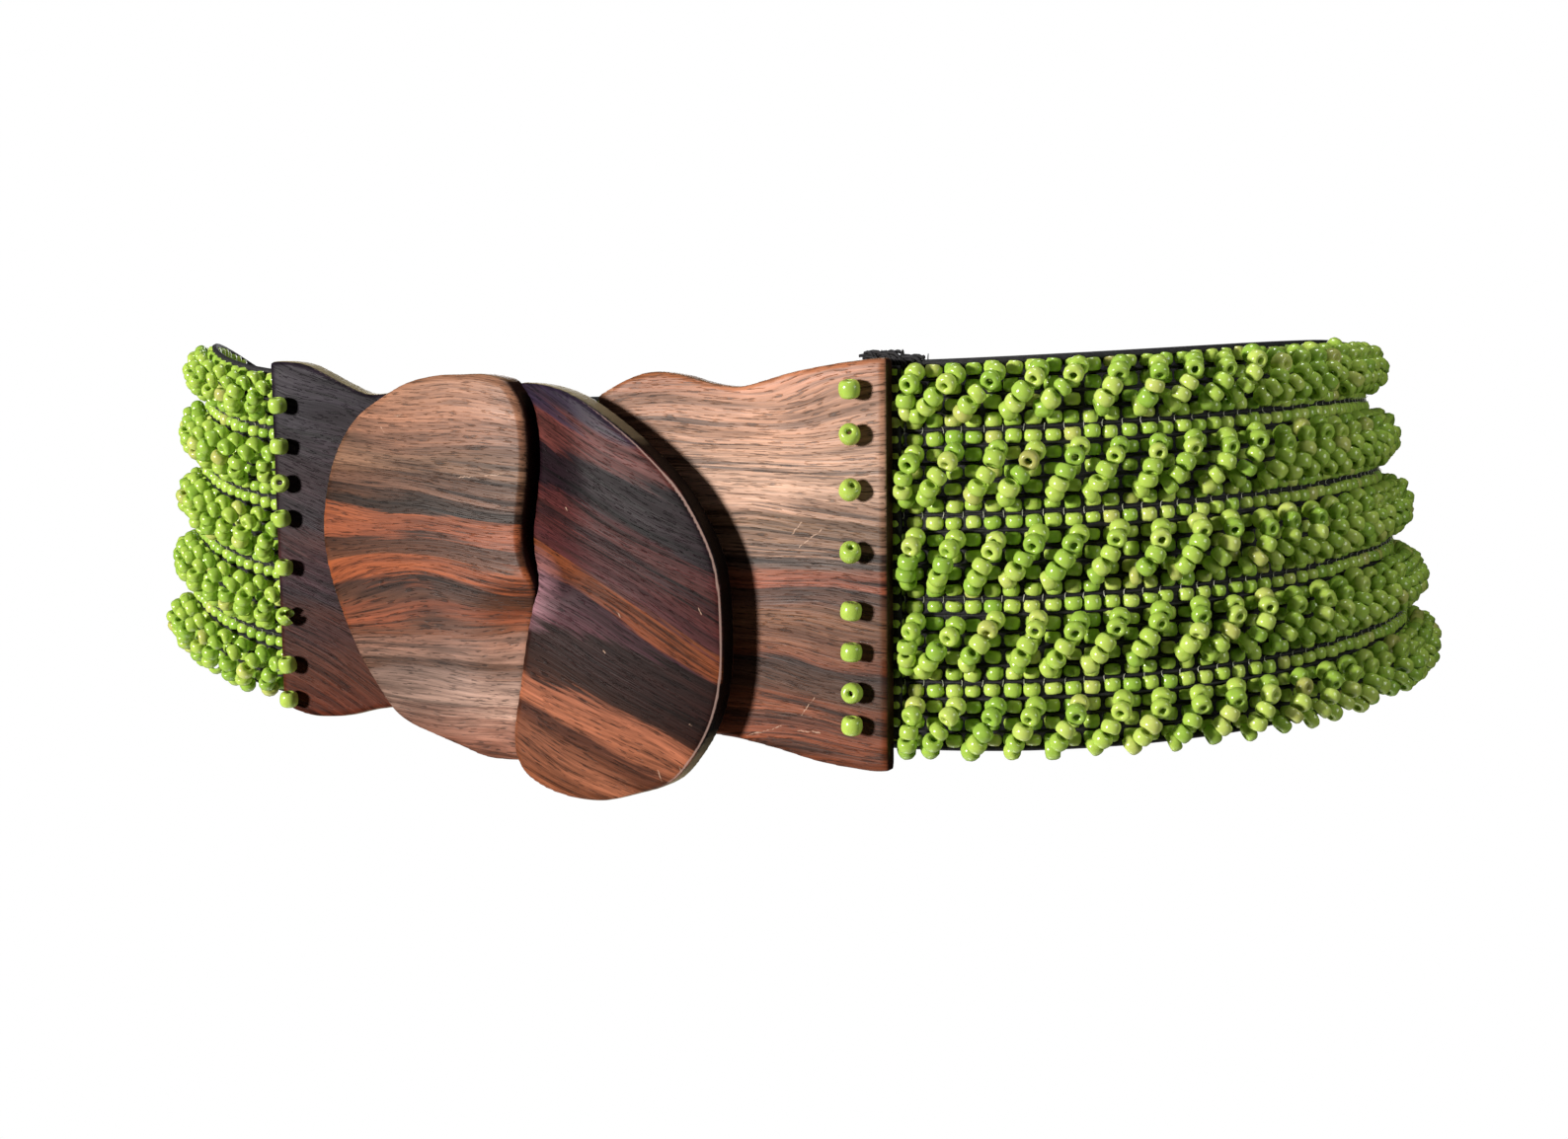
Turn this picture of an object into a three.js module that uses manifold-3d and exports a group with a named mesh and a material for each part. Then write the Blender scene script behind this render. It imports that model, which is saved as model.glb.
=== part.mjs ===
// A wide stretch belt of seed beads with a carved wooden hook clasp, worn and fastened.
// Millimetres, +Z up, -Y the front. The origin is the middle of the waist hollow.
import * as THREE from "three";
import { mergeVertices } from "three/addons/utils/BufferGeometryUtils.js";
import Module from "manifold-3d";

const wasm = await Module();
wasm.setup();

// Clasp, measured from the line where its two halves hook together
const LEFT_REACH = 63;
const RIGHT_REACH = 75;
const PLATE_HEIGHT = 72.4;
const PLATE_THICKNESS = 5;
const LEFT_PLATE_LIFT = 0.5;
const RIGHT_PLATE_LIFT = -1.1;
const LIGHT_PETAL_REACH = 45.4;
const LIGHT_PETAL_HEIGHT = 73.8;
const LIGHT_PETAL_LIFT = -3.6;
const DARK_PETAL_REACH = 45.9;
const DARK_PETAL_HEIGHT = 78.6;
const DARK_PETAL_LIFT = -7;
const PETAL_THICKNESS = 6.5;
const PETAL_STANDOFF = 1.5;
const CROSSING_HEIGHT = -7.6;
const DARK_NECK_REACH = 16;
const LIGHT_NECK_REACH = 8;
const NECK_TOP = 27;
const NECK_DROP = 27;
const HOOK_CLEARANCE = 0.3;
const UPPER_SEAM = 1.3;
// The seam between the petals opens over this share of the dividing edge
const SEAM_OPENING = 1 / 3;

// How many points each smooth curve of the clasp is cut into
const RIM_POINTS = 56;
const EDGE_POINTS = 20;
const SEAM_POINTS = 14;
const PLATE_TOP_POINTS = 30;
const PLATE_BOTTOM_POINTS = 24;
const FACE_POINTS = 18;
const MERGE_DISTANCE = 1e-4;

// Band
const BAND_WIDTH = 68;
const WEB_THICKNESS = 3.2;
const SEAT_CLEARANCE = 0.3;
const LOBES = 5;
const LOOP_STAND = 5;
const BAND_TUCK = 9;
const BAND_STATIONS = 62;

// Loop that the band follows around the waist
const EDGE_OVERHANG = 3;
const SIDE_RADIUS = 69;
const SIDE_TURN = THREE.MathUtils.degToRad(73.8);
const RIGHT_FLARE = THREE.MathUtils.degToRad(11.3);
const LEFT_FLARE = THREE.MathUtils.degToRad(18.8);

// How the band climbs over each hip and falls away behind it, counted from its middle front
const RISE_START = 60;
const RIGHT_RISE = 4.6;
const RIGHT_RISE_RUN = 130;
const RIGHT_FALL_START = 215;
const RIGHT_FALL_RUN = 130;
const LEFT_RISE = 12.9;
const LEFT_RISE_RUN = 100;
const LEFT_FALL_START = 108;
const LEFT_FALL_RUN = 80;
const BACK_DROP = 4;

// Stitch beads that stop the sewing threads on the face of each plate
const STITCH_BEAD_DIAMETER = 3.8;
const STITCH_BEAD_LENGTH = 3.2;
const STITCH_HOLE_DIAMETER = 1.1;
const STITCH_BEAD_SIDES = 10;
const LEFT_BEAD_INSET = 3.7;
const RIGHT_BEAD_INSET = 5.8;

// Outlines of the plates. across is a share of the plate's reach, up of half its height.
const RIGHT_PLATE_TOP = [
  { across: 0.22, up: 0.83 },
  { across: 0.31, up: 0.92 },
  { across: 0.38, up: 0.95 },
  { across: 0.46, up: 0.93 },
  { across: 0.53, up: 0.89 },
  { across: 0.61, up: 0.87 },
  { across: 0.68, up: 0.9 },
  { across: 0.76, up: 0.94 },
  { across: 0.89, up: 0.98 },
  { across: 1, up: 1 },
];
const RIGHT_PLATE_BOTTOM = [
  { across: 1, up: -1 },
  { across: 0.95, up: -1.01 },
  { across: 0.82, up: -0.99 },
  { across: 0.69, up: -0.94 },
  { across: 0.55, up: -0.9 },
  { across: 0.4, up: -0.9 },
  { across: 0.2, up: -0.84 },
  { across: 0, up: -0.8 },
];
const LEFT_PLATE_TOP = [
  { across: 1, up: 1 },
  { across: 0.93, up: 1 },
  { across: 0.86, up: 0.98 },
  { across: 0.8, up: 0.94 },
  { across: 0.71, up: 0.87 },
  { across: 0.61, up: 0.81 },
  { across: 0.5, up: 0.82 },
  { across: 0.3, up: 0.84 },
  { across: 0.1, up: 0.8 },
];
const LEFT_PLATE_BOTTOM = [
  { across: 0.2, up: -0.84 },
  { across: 0.4, up: -0.91 },
  { across: 0.6, up: -0.96 },
  { across: 0.72, up: -1.01 },
  { across: 0.81, up: -1.03 },
  { across: 0.9, up: -1.03 },
  { across: 1, up: -0.98 },
];

// Outlines of the petals, as shares of each petal's reach and half its height.
// The first rows of the light petal's rim carry on from the dividing edge in one curve.
const RIM_START_ROWS = 3;
const LIGHT_PETAL_RIM = [
  { across: 0.1, up: 1 },
  { across: 0.21, up: 1 },
  { across: 0.32, up: 1 },
  { across: 0.44, up: 0.98 },
  { across: 0.55, up: 0.94 },
  { across: 0.7, up: 0.85 },
  { across: 0.79, up: 0.78 },
  { across: 0.88, up: 0.66 },
  { across: 0.96, up: 0.46 },
  { across: 1, up: 0.2 },
  { across: 0.98, up: -0.04 },
  { across: 0.91, up: -0.27 },
  { across: 0.81, up: -0.5 },
  { across: 0.7, up: -0.68 },
  { across: 0.62, up: -0.79 },
  { across: 0.53, up: -0.85 },
  { across: 0.42, up: -0.89 },
  { across: 0.28, up: -0.94 },
  { across: 0.12, up: -1 },
  { across: -0.1, up: -1 },
];
// The light petal's right edge, which lies over the dark half down to the crossing
const DIVIDING_EDGE = [
  { across: -0.14, up: -0.11 },
  { across: -0.125, up: -0.05 },
  { across: -0.095, up: 0.04 },
  { across: -0.078, up: 0.16 },
  { across: -0.085, up: 0.27 },
  { across: -0.1, up: 0.38 },
  { across: -0.113, up: 0.5 },
  { across: -0.117, up: 0.62 },
  { across: -0.11, up: 0.74 },
  { across: -0.09, up: 0.84 },
  { across: -0.055, up: 0.91 },
  { across: -0.01, up: 0.97 },
];
const DARK_PETAL_RIM = [
  { across: 0.14, up: -0.01 },
  { across: 0.09, up: -0.23 },
  { across: 0.05, up: -0.48 },
  { across: 0.015, up: -0.7 },
  { across: 0.03, up: -0.84 },
  { across: 0.1, up: -0.93 },
  { across: 0.25, up: -0.99 },
  { across: 0.43, up: -1 },
  { across: 0.6, up: -0.95 },
  { across: 0.75, up: -0.885 },
  { across: 0.85, up: -0.77 },
  { across: 0.94, up: -0.6 },
  { across: 0.99, up: -0.39 },
  { across: 1, up: -0.12 },
  { across: 0.98, up: 0.12 },
  { across: 0.92, up: 0.3 },
  { across: 0.81, up: 0.5 },
  { across: 0.66, up: 0.67 },
  { across: 0.55, up: 0.77 },
  { across: 0.45, up: 0.85 },
  { across: 0.36, up: 0.91 },
  { across: 0.27, up: 0.95 },
  { across: 0.17, up: 0.975 },
  { across: 0.05, up: 0.985 },
];

// Carved faces. across is a share of the reach, depth a share of the thickness.
const PLATE_FACE = [
  { across: -0.6, depth: 1 },
  { across: 0.35, depth: 1 },
  { across: 0.5, depth: 0.9 },
  { across: 0.62, depth: 0.84 },
  { across: 0.75, depth: 0.9 },
  { across: 0.87, depth: 1 },
  { across: 1.1, depth: 1 },
];

// A stitch bead's section. along is a share of half its length, out of the wall around its hole.
const BEAD_SECTION = [
  { along: -1, out: 0 },
  { along: -0.95, out: 0.59 },
  { along: -0.59, out: 0.9 },
  { along: 0, out: 1 },
  { along: 0.59, out: 0.9 },
  { along: 0.95, out: 0.59 },
  { along: 1, out: 0 },
  { along: -1, out: 0 },
];

// One lobe of standing loops. at is a share of its width, stand of the loops' height.
const LOBE_PROFILE = [
  { at: 0.04, stand: 0 },
  { at: 0.16, stand: 0.62 },
  { at: 0.34, stand: 0.94 },
  { at: 0.52, stand: 1 },
  { at: 0.7, stand: 0.92 },
  { at: 0.88, stand: 0.58 },
];
// How the loops start beside a plate. past is millimetres beyond its outer edge.
const BAND_START = [
  { past: -BAND_TUCK, stand: 0 },
  { past: 1.2, stand: 0 },
  { past: 3, stand: 0.75 },
  { past: 5.5, stand: 1 },
];

// Stitch beads, top to bottom. up is a share of half the plate's height, turns in degrees.
const LEFT_STITCH_BEADS = [
  { up: 0.75, yaw: 10, pitch: 12 },
  { up: 0.52, yaw: 75, pitch: 8 },
  { up: 0.31, yaw: 40, pitch: 80 },
  { up: 0.11, yaw: 0, pitch: 20 },
  { up: -0.17, yaw: 70, pitch: 10 },
  { up: -0.45, yaw: 20, pitch: 60 },
  { up: -0.73, yaw: 5, pitch: 15 },
  { up: -0.93, yaw: 60, pitch: 10 },
];
const RIGHT_STITCH_BEADS = [
  { up: 0.85, yaw: 5, pitch: 12 },
  { up: 0.635, yaw: 20, pitch: 70 },
  { up: 0.37, yaw: 45, pitch: 55 },
  { up: 0.07, yaw: 30, pitch: 50 },
  { up: -0.215, yaw: 80, pitch: 8 },
  { up: -0.415, yaw: 85, pitch: 5 },
  { up: -0.615, yaw: 10, pitch: 86 },
  { up: -0.775, yaw: 55, pitch: 10 },
];

// Places that follow from the sizes
const PETAL_BACK = PLATE_THICKNESS + PETAL_STANDOFF;
const PETAL_FRONT = PETAL_BACK + PETAL_THICKNESS;
const FRONT_HALF = (LEFT_REACH + RIGHT_REACH) / 2 - EDGE_OVERHANG;
const HOOK_X = (LEFT_REACH - RIGHT_REACH) / 2;
const SIDE_END = FRONT_HALF + SIDE_RADIUS * SIDE_TURN;
const BACK_RADIUS = SIDE_RADIUS + FRONT_HALF / Math.sin(SIDE_TURN);
const BACK_CENTRE = SIDE_RADIUS + (BACK_RADIUS - SIDE_RADIUS) * Math.cos(SIDE_TURN);
const LOOP_LENGTH = 2 * (SIDE_END + BACK_RADIUS * (Math.PI - SIDE_TURN));
const LOOP_DEPTH = BACK_CENTRE + BACK_RADIUS;

const darkWood = new THREE.MeshStandardMaterial({ color: 0x4a2e2b, roughness: 0.38 });
const lightWood = new THREE.MeshStandardMaterial({ color: 0x8a5a40, roughness: 0.4 });
const greenBeads = new THREE.MeshStandardMaterial({ color: 0x7fb53a, roughness: 0.25 });
const stitchGreen = new THREE.MeshStandardMaterial({ color: 0x8fbf45, roughness: 0.25 });

function smoothStep(value) {
  const t = THREE.MathUtils.clamp(value, 0, 1);
  return t * t * (3 - 2 * t);
}

// A merged, position-only geometry as a solid that can be joined and cut
function toSolid(geometry) {
  const bare = geometry.index ? geometry.toNonIndexed() : geometry.clone();
  bare.deleteAttribute("normal");
  bare.deleteAttribute("uv");
  const merged = mergeVertices(bare, MERGE_DISTANCE);
  const mesh = new wasm.Mesh({
    numProp: 3,
    vertProperties: new Float32Array(merged.attributes.position.array),
    triVerts: new Uint32Array(merged.index.array),
  });
  return new wasm.Manifold(mesh);
}

function toGeometry(solid) {
  const mesh = solid.getMesh();
  const geometry = new THREE.BufferGeometry();
  geometry.setAttribute("position", new THREE.BufferAttribute(mesh.vertProperties, 3));
  geometry.setIndex(new THREE.BufferAttribute(mesh.triVerts, 1));
  geometry.computeVertexNormals();
  return geometry;
}

// Points of a table in clasp coordinates: x along the belt, y up. side is -1 for the left half.
function placed(table, reach, height, lift, side) {
  return table.map((row) => new THREE.Vector2(side * row.across * reach, row.up * height / 2 + lift));
}

function smoothed(points, count) {
  return new THREE.SplineCurve(points).getSpacedPoints(count);
}

// The outline moved outwards by a clearance; the outline runs anticlockwise
function grown(points, clearance) {
  const count = points.length;
  return points.map((point, i) => {
    const before = points[(i + count - 1) % count];
    const after = points[(i + 1) % count];
    const along = after.clone().sub(before).normalize();
    return new THREE.Vector2(point.x + along.y * clearance, point.y - along.x * clearance);
  });
}

function anticlockwise(points) {
  return THREE.ShapeUtils.isClockWise(points) ? points.slice().reverse() : points;
}

// An outline of the clasp's face as a solid between two depths, counted forwards from its back
function slab(points, back, front) {
  const shape = new THREE.Shape(points);
  const geometry = new THREE.ExtrudeGeometry(shape, { depth: front - back, bevelEnabled: false });
  geometry.translate(0, 0, back);
  geometry.rotateX(Math.PI / 2);
  return toSolid(geometry);
}

function block(left, right, bottom, top, back, front) {
  const corners = [
    new THREE.Vector2(left, bottom),
    new THREE.Vector2(right, bottom),
    new THREE.Vector2(right, top),
    new THREE.Vector2(left, top),
  ];
  return slab(corners, back, front);
}

// A plate's carved thickness: the face's section, swept up the whole height
function carvedThickness(reach, side) {
  const face = PLATE_FACE.map((row) => {
    return new THREE.Vector2(side * row.across * reach, -row.depth * PLATE_THICKNESS);
  });
  const curve = smoothed(face, FACE_POINTS);
  const first = curve[0];
  const last = curve[curve.length - 1];
  curve.push(new THREE.Vector2(last.x, 0), new THREE.Vector2(first.x, 0));
  const geometry = new THREE.ExtrudeGeometry(new THREE.Shape(curve), {
    depth: 2 * PLATE_HEIGHT,
    bevelEnabled: false,
  });
  geometry.translate(0, 0, -PLATE_HEIGHT);
  return toSolid(geometry);
}

function dividingEdge() {
  return placed(DIVIDING_EDGE, LIGHT_PETAL_REACH, LIGHT_PETAL_HEIGHT, LIGHT_PETAL_LIFT, -1);
}

// The dark petal's rim, closed along the light petal's edge with the seam between them
function darkPetalOutline() {
  const rim = placed(DARK_PETAL_RIM, DARK_PETAL_REACH, DARK_PETAL_HEIGHT, DARK_PETAL_LIFT, 1);
  const edge = dividingEdge();
  const seam = edge.map((point, i) => {
    const open = smoothStep(i / (SEAM_OPENING * edge.length));
    return new THREE.Vector2(point.x + HOOK_CLEARANCE + (UPPER_SEAM - HOOK_CLEARANCE) * open, point.y);
  });
  const top = rim[rim.length - 1];
  const below = seam.filter((point, i) => i > 0 && point.y < top.y - UPPER_SEAM);
  return anticlockwise([...smoothed(rim, RIM_POINTS), ...smoothed(below, SEAM_POINTS).reverse()]);
}

function lightPetalOutline() {
  const rim = placed(LIGHT_PETAL_RIM, LIGHT_PETAL_REACH, LIGHT_PETAL_HEIGHT, LIGHT_PETAL_LIFT, -1);
  const edge = dividingEdge();
  const overlap = new THREE.Vector2(DARK_NECK_REACH, CROSSING_HEIGHT - DARK_NECK_REACH);
  const upper = smoothed([...edge, ...rim.slice(0, RIM_START_ROWS)], EDGE_POINTS);
  const outer = smoothed(rim.slice(RIM_START_ROWS - 1), RIM_POINTS);
  return anticlockwise([...upper, ...outer.slice(1), overlap]);
}

function rightPlateOutline() {
  const top = placed(RIGHT_PLATE_TOP, RIGHT_REACH, PLATE_HEIGHT, RIGHT_PLATE_LIFT, 1);
  const bottom = placed(RIGHT_PLATE_BOTTOM, RIGHT_REACH, PLATE_HEIGHT, RIGHT_PLATE_LIFT, 1);
  const inner = DARK_NECK_REACH + HOOK_CLEARANCE;
  const step = CROSSING_HEIGHT - HOOK_CLEARANCE / 2;
  const end = -LIGHT_NECK_REACH;
  return anticlockwise([
    ...smoothed(top, PLATE_TOP_POINTS),
    ...smoothed(bottom, PLATE_BOTTOM_POINTS),
    new THREE.Vector2(end, bottom[bottom.length - 1].y),
    new THREE.Vector2(end, step),
    new THREE.Vector2(inner, step),
  ]);
}

function leftPlateOutline() {
  const top = placed(LEFT_PLATE_TOP, LEFT_REACH, PLATE_HEIGHT, LEFT_PLATE_LIFT, -1);
  const bottom = placed(LEFT_PLATE_BOTTOM, LEFT_REACH, PLATE_HEIGHT, LEFT_PLATE_LIFT, -1);
  const inner = -LIGHT_NECK_REACH - HOOK_CLEARANCE;
  const step = CROSSING_HEIGHT + HOOK_CLEARANCE / 2;
  return anticlockwise([
    ...smoothed(top, PLATE_TOP_POINTS),
    new THREE.Vector2(DARK_NECK_REACH, NECK_TOP),
    new THREE.Vector2(DARK_NECK_REACH, step),
    new THREE.Vector2(inner, step),
    ...smoothed(bottom, PLATE_BOTTOM_POINTS),
  ]);
}

// Dark half: left plate at the back, a neck through the hook, and the right-hand petal in front
function darkHalf() {
  const petal = darkPetalOutline();
  const neckBottom = CROSSING_HEIGHT + HOOK_CLEARANCE;
  const neck = block(0, DARK_NECK_REACH, neckBottom, NECK_TOP, 0, PETAL_FRONT);
  const plate = slab(leftPlateOutline(), 0, PLATE_THICKNESS).intersect(carvedThickness(LEFT_REACH, -1));
  return slab(petal, PETAL_BACK, PETAL_FRONT).add(slab(petal, 0, PETAL_FRONT).intersect(neck)).add(plate);
}

// Light half: right plate at the back, a neck under the crossing, and the left-hand petal
function lightHalf() {
  const petal = lightPetalOutline();
  const neckTop = CROSSING_HEIGHT - HOOK_CLEARANCE;
  const neck = block(-LIGHT_NECK_REACH, DARK_NECK_REACH, -NECK_DROP, neckTop, 0, PETAL_FRONT);
  const plate = slab(rightPlateOutline(), 0, PLATE_THICKNESS).intersect(carvedThickness(RIGHT_REACH, 1));
  const front = slab(petal, PETAL_BACK, PETAL_FRONT).add(slab(petal, 0, PETAL_FRONT).intersect(neck));
  const room = slab(grown(darkPetalOutline(), HOOK_CLEARANCE), PLATE_THICKNESS, 2 * PETAL_FRONT);
  return front.subtract(room).add(plate);
}

// A place on the loop, run millimetres from its middle front, positive towards the right
function loopPlace(run) {
  const side = run < 0 ? -1 : 1;
  const length = Math.abs(run);
  let heading = 0;
  let x = length;
  let y = 0;
  if (length > SIDE_END) {
    heading = SIDE_TURN + (length - SIDE_END) / BACK_RADIUS;
    x = BACK_RADIUS * Math.sin(heading);
    y = BACK_CENTRE - BACK_RADIUS * Math.cos(heading);
  } else if (length > FRONT_HALF) {
    heading = (length - FRONT_HALF) / SIDE_RADIUS;
    x = FRONT_HALF + SIDE_RADIUS * Math.sin(heading);
    y = SIDE_RADIUS * (1 - Math.cos(heading));
  }
  return { x: side * x, y: y - LOOP_DEPTH / 2, heading: side * heading };
}

// How high the band has climbed, or fallen, at a place on the loop
function bandRise(run) {
  const right = run > 0;
  const length = Math.abs(run);
  const climbed = smoothStep((length - RISE_START) / (right ? RIGHT_RISE_RUN : LEFT_RISE_RUN));
  const fallStart = right ? RIGHT_FALL_START : LEFT_FALL_START;
  const fallen = smoothStep((length - fallStart) / (right ? RIGHT_FALL_RUN : LEFT_FALL_RUN));
  return climbed * (right ? RIGHT_RISE : LEFT_RISE) * (1 - fallen) - BACK_DROP * fallen;
}

// A point of the band: up along its width, out from the plane of the plates' backs
function bandPoint(run, up, out) {
  const { x, y, heading } = loopPlace(run);
  const turned = Math.min(Math.abs(heading), Math.PI / 2);
  const behind = Math.abs(heading) > Math.PI / 2;
  const rightShare = behind ? (1 + Math.sin(heading)) / 2 : Number(run > 0);
  const flare = (1 - Math.cos(turned)) * THREE.MathUtils.lerp(LEFT_FLARE, RIGHT_FLARE, rightShare);
  const away = out * Math.cos(flare) - up * Math.sin(flare);
  const height = up * Math.cos(flare) + out * Math.sin(flare) + bandRise(run);
  return new THREE.Vector3(x + Math.sin(heading) * away, y - Math.cos(heading) * away, height);
}

// The band's section: the lobes of loops down its outside, and its flat inside
function bandSection(stand) {
  const lobe = BAND_WIDTH / LOBES;
  const section = [{ up: BAND_WIDTH / 2, out: -SEAT_CLEARANCE }];
  for (let i = 0; i < LOBES; i += 1) {
    for (const row of LOBE_PROFILE) {
      section.push({
        up: BAND_WIDTH / 2 - (i + row.at) * lobe,
        out: -SEAT_CLEARANCE + row.stand * stand * LOOP_STAND,
      });
    }
  }
  section.push({ up: -BAND_WIDTH / 2, out: -SEAT_CLEARANCE });
  section.push({ up: -BAND_WIDTH / 2, out: -SEAT_CLEARANCE - WEB_THICKNESS });
  section.push({ up: BAND_WIDTH / 2, out: -SEAT_CLEARANCE - WEB_THICKNESS });
  return section;
}

// Stations from behind the right plate, around the back of the waist, to behind the left plate
function bandStations() {
  const rightEdge = HOOK_X + RIGHT_REACH;
  const leftEdge = LOOP_LENGTH + HOOK_X - LEFT_REACH;
  const last = BAND_START[BAND_START.length - 1];
  const stations = BAND_START.map((row) => ({ run: rightEdge + row.past, stand: row.stand }));
  const first = rightEdge + last.past;
  const step = (leftEdge - last.past - first) / BAND_STATIONS;
  for (let i = 1; i < BAND_STATIONS; i += 1) {
    stations.push({ run: first + i * step, stand: 1 });
  }
  for (const row of BAND_START.toReversed()) {
    stations.push({ run: leftEdge - row.past, stand: row.stand });
  }
  return stations;
}

function wovenBand() {
  const rings = bandStations().map(({ run, stand }) => {
    const signedRun = run > LOOP_LENGTH / 2 ? run - LOOP_LENGTH : run;
    return bandSection(stand).map((point) => bandPoint(signedRun, point.up, point.out));
  });
  const around = rings[0].length;
  const positions = rings.flat().flatMap((point) => point.toArray());
  const faces = [];
  for (let i = 0; i + 1 < rings.length; i += 1) {
    for (let j = 0; j < around; j += 1) {
      const next = (j + 1) % around;
      const a = i * around + j;
      const b = i * around + next;
      faces.push(a, b, a + around, b, b + around, a + around);
    }
  }
  const flat = bandSection(0).map((point) => new THREE.Vector2(point.up, point.out));
  const lastRing = (rings.length - 1) * around;
  for (const [a, b, c] of THREE.ShapeUtils.triangulateShape(flat, [])) {
    faces.push(a, c, b);
    faces.push(lastRing + a, lastRing + b, lastRing + c);
  }
  const geometry = new THREE.BufferGeometry();
  geometry.setAttribute("position", new THREE.Float32BufferAttribute(positions, 3));
  geometry.setIndex(faces);
  geometry.computeVertexNormals();
  return geometry;
}

// A drilled bead with rounded shoulders, its hole along Y before it is turned
function stitchBead({ yaw, pitch }) {
  const radius = STITCH_BEAD_DIAMETER / 2;
  const hole = STITCH_HOLE_DIAMETER / 2;
  const profile = BEAD_SECTION.map(({ along, out }) => {
    return new THREE.Vector2(hole + (radius - hole) * out, along * STITCH_BEAD_LENGTH / 2);
  });
  const geometry = new THREE.LatheGeometry(profile, STITCH_BEAD_SIDES);
  geometry.rotateX(THREE.MathUtils.degToRad(pitch));
  geometry.rotateY(THREE.MathUtils.degToRad(yaw));
  geometry.rotateX(Math.PI / 2);
  geometry.computeBoundingBox();
  geometry.translate(0, -geometry.boundingBox.max.y, 0);
  return geometry;
}

function named(name, geometry, material) {
  const mesh = new THREE.Mesh(geometry, material.clone());
  mesh.name = name;
  return mesh;
}

function stitchRow(clasp, rows, label, across, lift) {
  rows.forEach((row, i) => {
    const mesh = named(`stitch_bead_${label}_${i + 1}`, stitchBead(row), stitchGreen);
    mesh.position.set(across, -PLATE_THICKNESS - SEAT_CLEARANCE, row.up * PLATE_HEIGHT / 2 + lift);
    clasp.add(mesh);
  });
}

const belt = new THREE.Group();
const clasp = new THREE.Group();
clasp.position.set(HOOK_X, -LOOP_DEPTH / 2, 0);
clasp.add(named("clasp_dark_half", toGeometry(darkHalf()), darkWood));
clasp.add(named("clasp_light_half", toGeometry(lightHalf()), lightWood));
stitchRow(clasp, LEFT_STITCH_BEADS, "left", LEFT_BEAD_INSET - LEFT_REACH, LEFT_PLATE_LIFT);
stitchRow(clasp, RIGHT_STITCH_BEADS, "right", RIGHT_REACH - RIGHT_BEAD_INSET, RIGHT_PLATE_LIFT);
belt.add(clasp);
belt.add(named("woven_band", wovenBand(), greenBeads));

export default belt;
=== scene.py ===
"""A wide stretch belt of green seed beads with a carved rosewood hook clasp, worn and fastened."""

import math

import bmesh
import bpy
import numpy as np
from mathutils import Matrix, Vector


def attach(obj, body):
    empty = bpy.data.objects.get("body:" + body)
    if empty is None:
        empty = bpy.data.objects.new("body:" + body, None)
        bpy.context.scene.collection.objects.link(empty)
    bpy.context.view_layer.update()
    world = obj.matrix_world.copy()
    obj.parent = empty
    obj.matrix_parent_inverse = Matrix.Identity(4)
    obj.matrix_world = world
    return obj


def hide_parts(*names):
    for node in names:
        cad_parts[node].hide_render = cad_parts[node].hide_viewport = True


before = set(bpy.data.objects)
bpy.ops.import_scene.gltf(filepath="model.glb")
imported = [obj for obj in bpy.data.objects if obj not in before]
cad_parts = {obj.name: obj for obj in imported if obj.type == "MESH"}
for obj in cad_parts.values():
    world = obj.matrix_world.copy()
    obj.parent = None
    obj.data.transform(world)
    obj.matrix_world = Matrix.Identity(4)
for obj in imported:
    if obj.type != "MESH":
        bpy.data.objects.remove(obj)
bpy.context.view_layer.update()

MM = 0.001
SEED = 20

# Clasp sizes in millimetres, as in the part's source
LEFT_REACH = 63
RIGHT_REACH = 75
PLATE_HEIGHT = 72.4
PLATE_THICKNESS = 5
LEFT_PLATE_LIFT = 0.5
RIGHT_PLATE_LIFT = -1.1
LIGHT_PETAL_REACH = 45.4
LIGHT_PETAL_HEIGHT = 73.8
LIGHT_PETAL_LIFT = -3.6
DARK_PETAL_REACH = 45.9
DARK_PETAL_HEIGHT = 78.6
DARK_PETAL_LIFT = -7
PETAL_BACK = 6.5
PETAL_FRONT = 13
CROSSING_HEIGHT = -7.6
DARK_NECK_REACH = 16
LIGHT_NECK_REACH = 8
NECK_TOP = 27
HOOK_CLEARANCE = 0.3
UPPER_SEAM = 1.3

# Band sizes in millimetres
BAND_WIDTH = 68
WEB_THICKNESS = 3.2
SEAT_CLEARANCE = 0.3
LOBE_ROWS = (4, 5, 5, 5, 4)
LOOP_STAND = 5
BAND_TUCK = 9
EDGE_OVERHANG = 3
SIDE_RADIUS = 69
SIDE_TURN = math.radians(73.8)
RIGHT_FLARE = math.radians(11.3)
LEFT_FLARE = math.radians(18.8)
RISE_START = 60
RIGHT_RISE = 4.6
RIGHT_RISE_RUN = 130
RIGHT_FALL_START = 215
RIGHT_FALL_RUN = 130
LEFT_RISE = 12.9
LEFT_RISE_RUN = 100
LEFT_FALL_START = 108
LEFT_FALL_RUN = 80
BACK_DROP = 4

# Beads
COLUMN_PITCH = 3.52
FLAT_RADIUS = 1.58
FLAT_LENGTH = 2.42
FLAT_HOLE = 0.45
LOOP_RADIUS = 1.8
LOOP_LENGTH_OF_BEAD = 2.4
LOOP_HOLE = 0.7
LOOP_SLANT = 5.2
# For each lobe, how far its loops start below its upper cord and end above its lower one
LOOP_ENDS = ((2.0, 2.6), (3.7, 2.8), (3.7, 2.8), (3.7, 2.8), (3.7, -0.2))
STITCH_RADIUS = 1.9
STITCH_LENGTH = 3.2
STITCH_HOLE = 0.55
LEFT_BEAD_INSET = 3.7
RIGHT_BEAD_INSET = 5.8

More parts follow.
